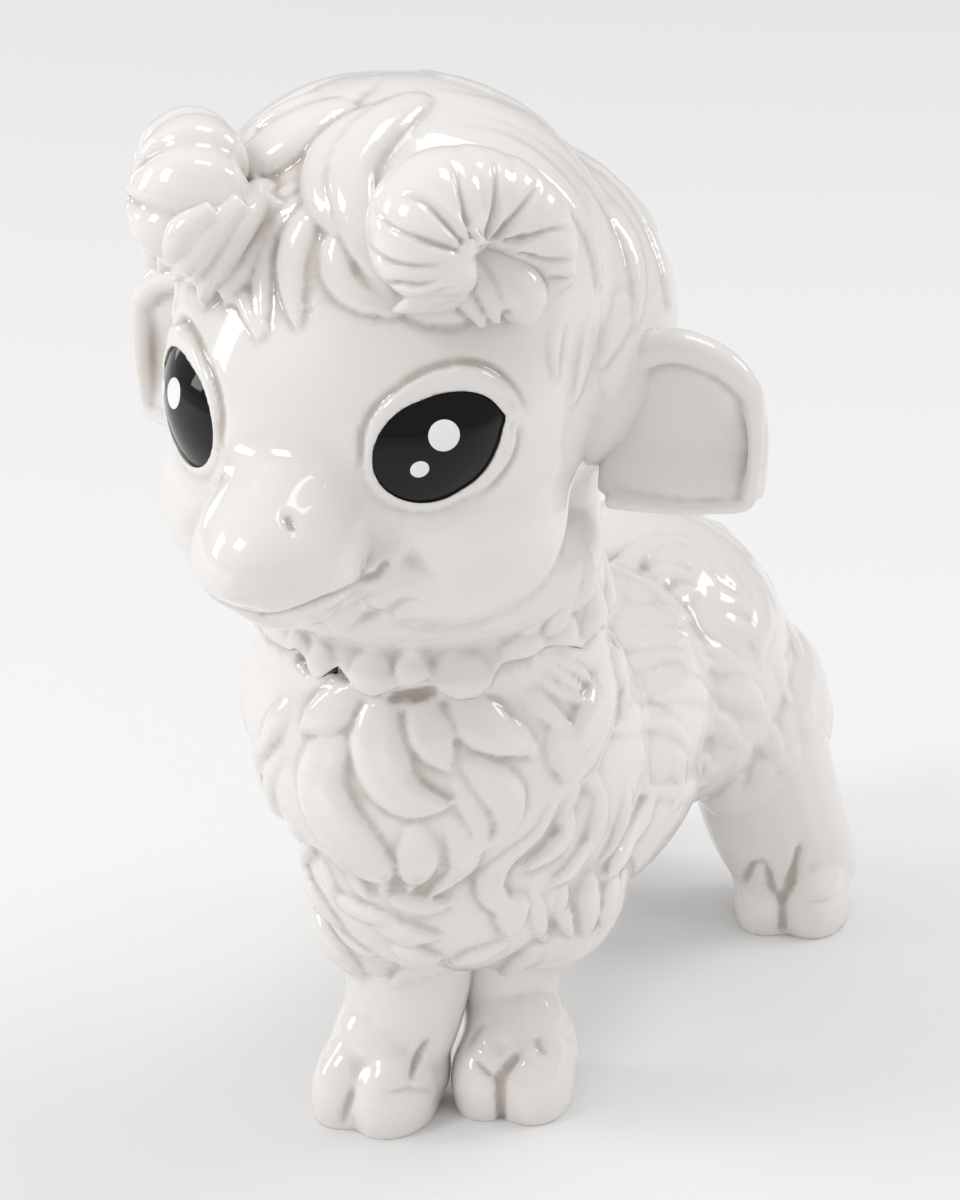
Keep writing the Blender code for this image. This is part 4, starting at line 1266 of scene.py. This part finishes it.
SIDE_STROKES = [
    (18, (572, 286), (560, 318), (554, 350), (556, 378)),
    (30, (596, 280), (594, 322), (584, 366), (574, 400)),
    (34, (626, 280), (616, 326), (602, 364)),
    (38, (392, 118), (446, 136), (516, 150), (568, 194), (594, 244), (598, 290)),
    (44, (404, 92), (480, 104), (562, 148), (618, 214), (640, 276), (634, 326)),
    (40, (366, 70), (430, 76), (520, 106), (600, 166), (652, 240), (668, 310)),
    (30, (345, 76), (310, 92), (270, 116)),
]
COLLAR_TONGUES = [
    ((300, 646), 4.2),
    ((319, 670), 4.8),
    ((373, 680), 6.4),
    ((412, 672), 4.8),
    ((460, 684), 8.4),
    ((524, 646), 6.4),
    ((555, 620), 5.8),
    ((582, 594), 5.4),
]
HUB_LOCKS = [
    ([(478, 246), (498, 262), (518, 284), (530, 304), (526, 324)], [2.4, 5.2, 6.8, 6.4, 3.2], -3.0),
    ([(466, 254), (482, 276), (494, 300), (500, 324)], [1.6, 2.6, 2.6, 1.0], -1.5),
    ([(442, 268), (462, 282), (480, 302), (494, 328)], [1.8, 3.0, 2.8, 1.0], -5.0),
]
HAIR_CENTRE, HAIR_RADIUS = Vector((0, -46, 214)), 56
HAIR_ROWS = [(10, 9), (32, 12), (56, 14), (80, 14), (102, 12)]
TONGUE_PADS, TONGUE_LENGTH = 6, 11.0
PAD_SINK, PAD_THICK, PAD_LONG = 1.2, 3.5, 5.5
WIDE_TONGUE, NARROW_TONGUE = 7.0, 5.6

hub_locks = [roll([on_horn(x, y, lift) for x, y in line], radii) for line, radii, lift in HUB_LOCKS]
hub_locks += [flipped(lock) for lock in hub_locks]
behind = []
for lean, count in HAIR_ROWS:
    for column in range(count):
        way = bearing(math.radians(-178 + 356 * (column + 0.5 * (lean % 3)) / count))
        rise = Vector((0, 0, math.cos(math.radians(lean))))
        start = HAIR_CENTRE + (way * math.sin(math.radians(lean)) + rise) * HAIR_RADIUS
        if start.y > -62 and (way.x <= -0.2 or start.y >= -20):
            behind.append(crept(head_skin, start, (way.x, way.y, -0.9), 40, 15.0, 0.3))


def tongue(tip, half_width):
    """A flat round tongue of the collar: a row of pads up the skirt from its tip, ever narrower."""
    pads = []
    for step in range(TONGUE_PADS):
        share = step / (TONGUE_PADS - 1)
        axis = Vector((*NECK, tip.z / MM + TONGUE_LENGTH * share)) * MM
        outward = Vector((tip.x, tip.y, 0)) - Vector((*NECK, 0)) * MM
        place, facing, _, _ = collar_skin.find_nearest(axis + outward * 0.98)
        across = Vector((0, 0, 1)).cross(facing).normalized()
        tilt = Matrix((across, facing, across.cross(facing))).transposed().to_euler()
        middle = place / MM - facing * (PAD_SINK + 2.2 * share)
        wide = half_width * (1 - 0.35 * share)
        pads.append(ball(middle, (wide, PAD_THICK, PAD_LONG), tilt))
    return pads


collar = []
for tip, half_width in COLLAR_TONGUES:
    collar += tongue(seen(collar_skin, *tip), half_width)
for scallop in range(REAR_SCALLOPS):
    tip = (Vector((*NECK, NECK_TOP)) + bearing(rear_turn(scallop + 0.5)) * COLLAR_RADIUS) * MM
    collar += tongue(tip, WIDE_TONGUE if scallop % 2 else NARROW_TONGUE)

LOCK_WOOL = {**WOOL, "Thickness": 0.42, "Tip lift": 0.0010}
FRINGE_WOOL = {**LOCK_WOOL, "Thickness": 0.62, "Strand depth": 0.04}
SMOOTH_WOOL = {**LOCK_WOOL, "Thickness": 0.17, "Strand depth": 0.06}
locks = [
    wool(plain_head, traced(head_skin, FRINGE_STROKES), **FRINGE_WOOL),
    wool(plain_head, traced(head_skin, SIDE_STROKES) + behind, **SMOOTH_WOOL),
    wool(collar_form, traced(collar_skin, TUFTS), **LOCK_WOOL),
]
horn_form = tree_of(right_horn)


def over_far_horn(x, y):
    """A place in millimetres on the far horn, or on the head where the line of sight misses the horn."""
    place, _, _, _ = horn_form.ray_cast(EYEPOINT, sight(x, y))
    return (place or seen(head_skin, x, y)) / MM


locks += [roll([over_far_horn(x, y) for x, y in line], radii) for line, radii in FAR_LOCKS]
ring = bar(NECK, RING_RADIUS, RING_RADIUS, RING_FOOT, RING_TOP)
head = modelled([collar_form, ring] + locks + collar + lids + hub_locks, 0.85, 2)
removed(plain_head)
print("head", len(head.data.polygons), "faces")

# %% [markdown]
# ## Press the face
#
# The mouth, the near nostril and the folds round the eyes are pressed into the clay with a tool. Then the
# joint, the hollow and the beds of the eyes are cut.

# %% Mouth, nostril and folds
FACE_PRESSES = [
    ([(262, 616), (290, 613), (310, 606), (330, 598), (350, 590), (372, 578), (385, 565)], 2.0, 1.3, 0.3),
    ([(400, 556), (415, 566), (440, 584)], 6.0, 1.3, 0.7),
    ([(345, 634), (362, 621), (385, 614), (402, 603), (424, 600)], 3.0, 1.0, 0.7),
    ([(362, 462), (361, 440), (368, 418), (382, 400), (400, 386), (420, 373), (446, 363)], 2.2, 1.0, 0.4),
    ([(440, 365), (462, 361), (486, 364), (505, 375), (518, 390), (526, 406)], 2.2, 0.8, 0.4),
    ([(510, 422), (519, 434), (515, 456), (502, 476), (484, 492)], 2.4, 0.6, 0.5),
]
NEAR_NOSTRIL = [
    ([(287, 514), (290, 523), (294, 531)], 2.4, 1.3, 0.4),
]
SEAT_LOW, SEAT_HIGH = 110.0, NECK_TOP + 0.3
SEAT_FOOT_RADIUS, SEAT_TOP_RADIUS = 38.4, 37.1
HOLLOW_BALL, HOLLOW_TOP = ((0, -52, 203), (42, 43, 43)), 183.0
BED_GAP, BED_BULGE = 0.12, 14.0
LARGE_DOT_RADIUS, SMALL_DOT_RADIUS = 3.6, 2.0
DOT_THICK, DOT_LIFT = 0.22, 0.05

face_skin = tree_of(head)
presses = both_sides(laid_on(face_skin, FACE_PRESSES))
pressed(head, presses + laid_on(face_skin, NEAR_NOSTRIL))
seat = turned([
    (RING_RADIUS, SEAT_LOW), (HALO_RADIUS, SEAT_LOW), (HALO_RADIUS, SEAM_GAP),
    (SEAT_FOOT_RADIUS, SEAM_GAP), (SEAT_TOP_RADIUS, SEAT_HIGH), (RING_RADIUS, SEAT_HIGH),
])
head = carved(head, seat)
ring_bore = bar(NECK, RING_BORE, RING_BORE, SEAT_LOW, HOLLOW_TOP)
head = carved(head, modelled([ball(*HOLLOW_BALL), ring_bore], 2.0, 1))
eye = eye_shape(0.0)
eye_bed = eye_shape(BED_GAP, bulge=BED_BULGE)
head = carved(head, flipped(eye_bed))
head = carved(head, eye_bed)
white_piece(thinned(head), "glazed_head", "lid", "head")
finished(flipped(eye), "black_eye_right", "lid", BLACK, "eye_right")
finished(eye, "black_eye_left", "lid", BLACK, "eye_left")


def dot(along, up, radius):
    """A round drop of enamel that lies on the black."""
    shape = rounded(40, 16)
    for corner in shape.verts:
        x, y, z = corner.co
        u, v = along + radius * x, up + radius * y
        spoke = np.array([u, v]) - EYE_MIDDLE
        ratio = np.hypot(*spoke) / almond_reach(math.atan2(spoke[1], spoke[0]))
        lift = EYE_BULGE * (1 - ratio * ratio) - EYE_SINK
        corner.co = eye_place(u, v, lift + DOT_THICK * z + DOT_LIFT)
    return from_bmesh(shape, "dot")


# The dots stand for light from one side, so the far eye's small dot lies beyond its large one, out of sight.
FAR_SMALL_DOT = (8.3, 1.5)
large = dot(*on_eye(*LARGE_DOT), LARGE_DOT_RADIUS)
small = dot(*on_eye(*SMALL_DOT), SMALL_DOT_RADIUS)
far_small = dot(*FAR_SMALL_DOT, SMALL_DOT_RADIUS)
for thing, side, size in (
    (flipped(large), "right", "large"), (flipped(far_small), "right", "small"),
    (large, "left", "large"), (small, "left", "small"),
):
    finished(thing, f"dot_{side}_{size}", "lid", ENAMEL, f"eye_{side}_{size}_glint")
removed(far_small)

# %% [markdown]
# ## Ears
#
# The ears stand out sideways like thick leaves. A rolled rim runs over the top and down the outer edge, and
# the face inside it is hollow.

# %% Shape the ears
EAR_ROOT, EAR_TIP = Vector((44.0, -42.0, 190.0)), Vector((83.3, -38.5, 188.0))
EAR_RIMS = [
    (
        [(612, 372), (636, 352), (672, 344), (708, 358), (734, 378), (748, 402)],
        [4.2, 4.4, 4.2, 4.0, 3.4, 2.8],
    ),
    ([(748, 402), (751, 440), (749, 476), (742, 513)], [2.8, 2.2, 2.0, 1.7]),
    ([(742, 513), (700, 514), (650, 508), (606, 499)], [1.7, 1.6, 1.8, 2.4]),
]
EAR_RIBS, RIB_PARTS, RIB_RADIUS = 14, 6, 3.0
RIB_BACK, RIB_CUP = 2.2, 4.2
EAR_STALK = [Vector((36, -43, 204)), EAR_ROOT + Vector((4, -1, 12))]
EAR_STALK_RADII = [5, 4.2]
ALONG = (EAR_TIP - EAR_ROOT).normalized()
FRONT = ALONG.cross(Vector((0, 0, 1))).normalized()
EAR_FOLD = 3.0


def on_ear(x, y, back=0.0):
    """Where a line of sight meets the ear's plane, in millimetres, bent back toward the tip."""
    way = sight(x, y)
    root = EAR_ROOT * MM
    place = EYEPOINT + way * ((root - EYEPOINT).dot(FRONT) / way.dot(FRONT))
    outward = (place - root).dot(ALONG) / MM / 20
    return place / MM - FRONT * (EAR_FOLD * max(outward, 0.0) ** 2 / 2 + back)


def ear():
    """The left ear: upright ribs run together as its hollow blade, then the rolled rims and the stalk."""
    rims = [roll([on_ear(*pixel) for pixel in line], radii) for line, radii in EAR_RIMS]
    ribs = []
    for step in range(EAR_RIBS):
        share = step / (EAR_RIBS - 1)
        x = 604 + 140 * share
        top = 372 - 26 * math.sin(math.pi * min(share * 1.2, 1.0)) + 32 * share ** 3
        low = 498 + 12 * share
        line = []
        for part in range(RIB_PARTS + 1):
            back = RIB_BACK + RIB_CUP * math.sin(math.pi * part / RIB_PARTS)
            line.append(on_ear(x, top + (low - top) * part / RIB_PARTS, back))
        ribs.append(roll(line, [RIB_RADIUS] * len(line)))
    stalk = roll(EAR_STALK, EAR_STALK_RADII)
    return modelled([modelled(ribs, 0.9, 14)] + rims + [stalk], 0.8, 14)


left_ear = ear()
right_ear = flipped(left_ear)
for thing, name in ((left_ear, "ear_left"), (right_ear, "ear_right")):
    white_piece(thing, "glazed_" + name, "lid", name)

# %% [markdown]
# ## Plain floor and studio light
#
# The goat stands on pale paper in a pale room. The room is dimmer in the glaze than on the paper. Soft boxes
# at the left, the side, the front, behind and above draw the white streaks on the glaze.

# %% Floor and lights
ROOM, ROOM_IN_GLAZE = 0.9, 0.5

paper, _, paper_shader = blank("studio_paper")
paper_shader.inputs["Base Color"].default_value = colour("#E9E9E9")
paper_shader.inputs["Roughness"].default_value = 0.9
floor_shape = bmesh.new()
bmesh.ops.create_grid(floor_shape, x_segments=2, y_segments=2, size=6.0)
floor = from_bmesh(floor_shape, "paper_floor")
floor.data.materials.append(paper)

world = bpy.data.worlds.new("studio")
bpy.context.scene.world = world
world.use_nodes = True
room = world.node_tree.nodes["Background"]
room.inputs["Color"].default_value = colour("#F0F0F0")
in_glaze = put(world.node_tree, "ShaderNodeLightPath").outputs["Is Glossy Ray"]
level = put(world.node_tree, "ShaderNodeMix", {0: in_glaze, 2: ROOM, 3: ROOM_IN_GLAZE}, data_type="FLOAT")
world.node_tree.links.new(level.outputs[0], room.inputs["Strength"])


def softbox(name, place, size, power):
    lamp = bpy.data.lights.new(name, "AREA")
    lamp.shape = "RECTANGLE"
    lamp.size, lamp.size_y = size
    lamp.energy = power
    place = Vector(place)
    aim = (LOOK_AT - place).normalized().to_track_quat("-Z", "Y").to_matrix().to_4x4()
    link(lamp, name).matrix_world = Matrix.Translation(place) @ aim


softbox("left_box", (-1.22, -0.45, 0.62), (0.3, 0.70), 3.0)
softbox("side_box", (-1.18, 0.54, 0.36), (0.24, 0.4), 0.6)
softbox("front_box", (-0.52, -0.86, 1.12), (0.34, 0.34), 3.6)
softbox("back_box", (0.93, 0.77, 0.83), (0.4, 0.4), 2.0)
softbox("top_box", (0.4, 0.2, 1.5), (0.6, 0.6), 3.4)

bpy.context.scene.view_settings.view_transform = "Standard"
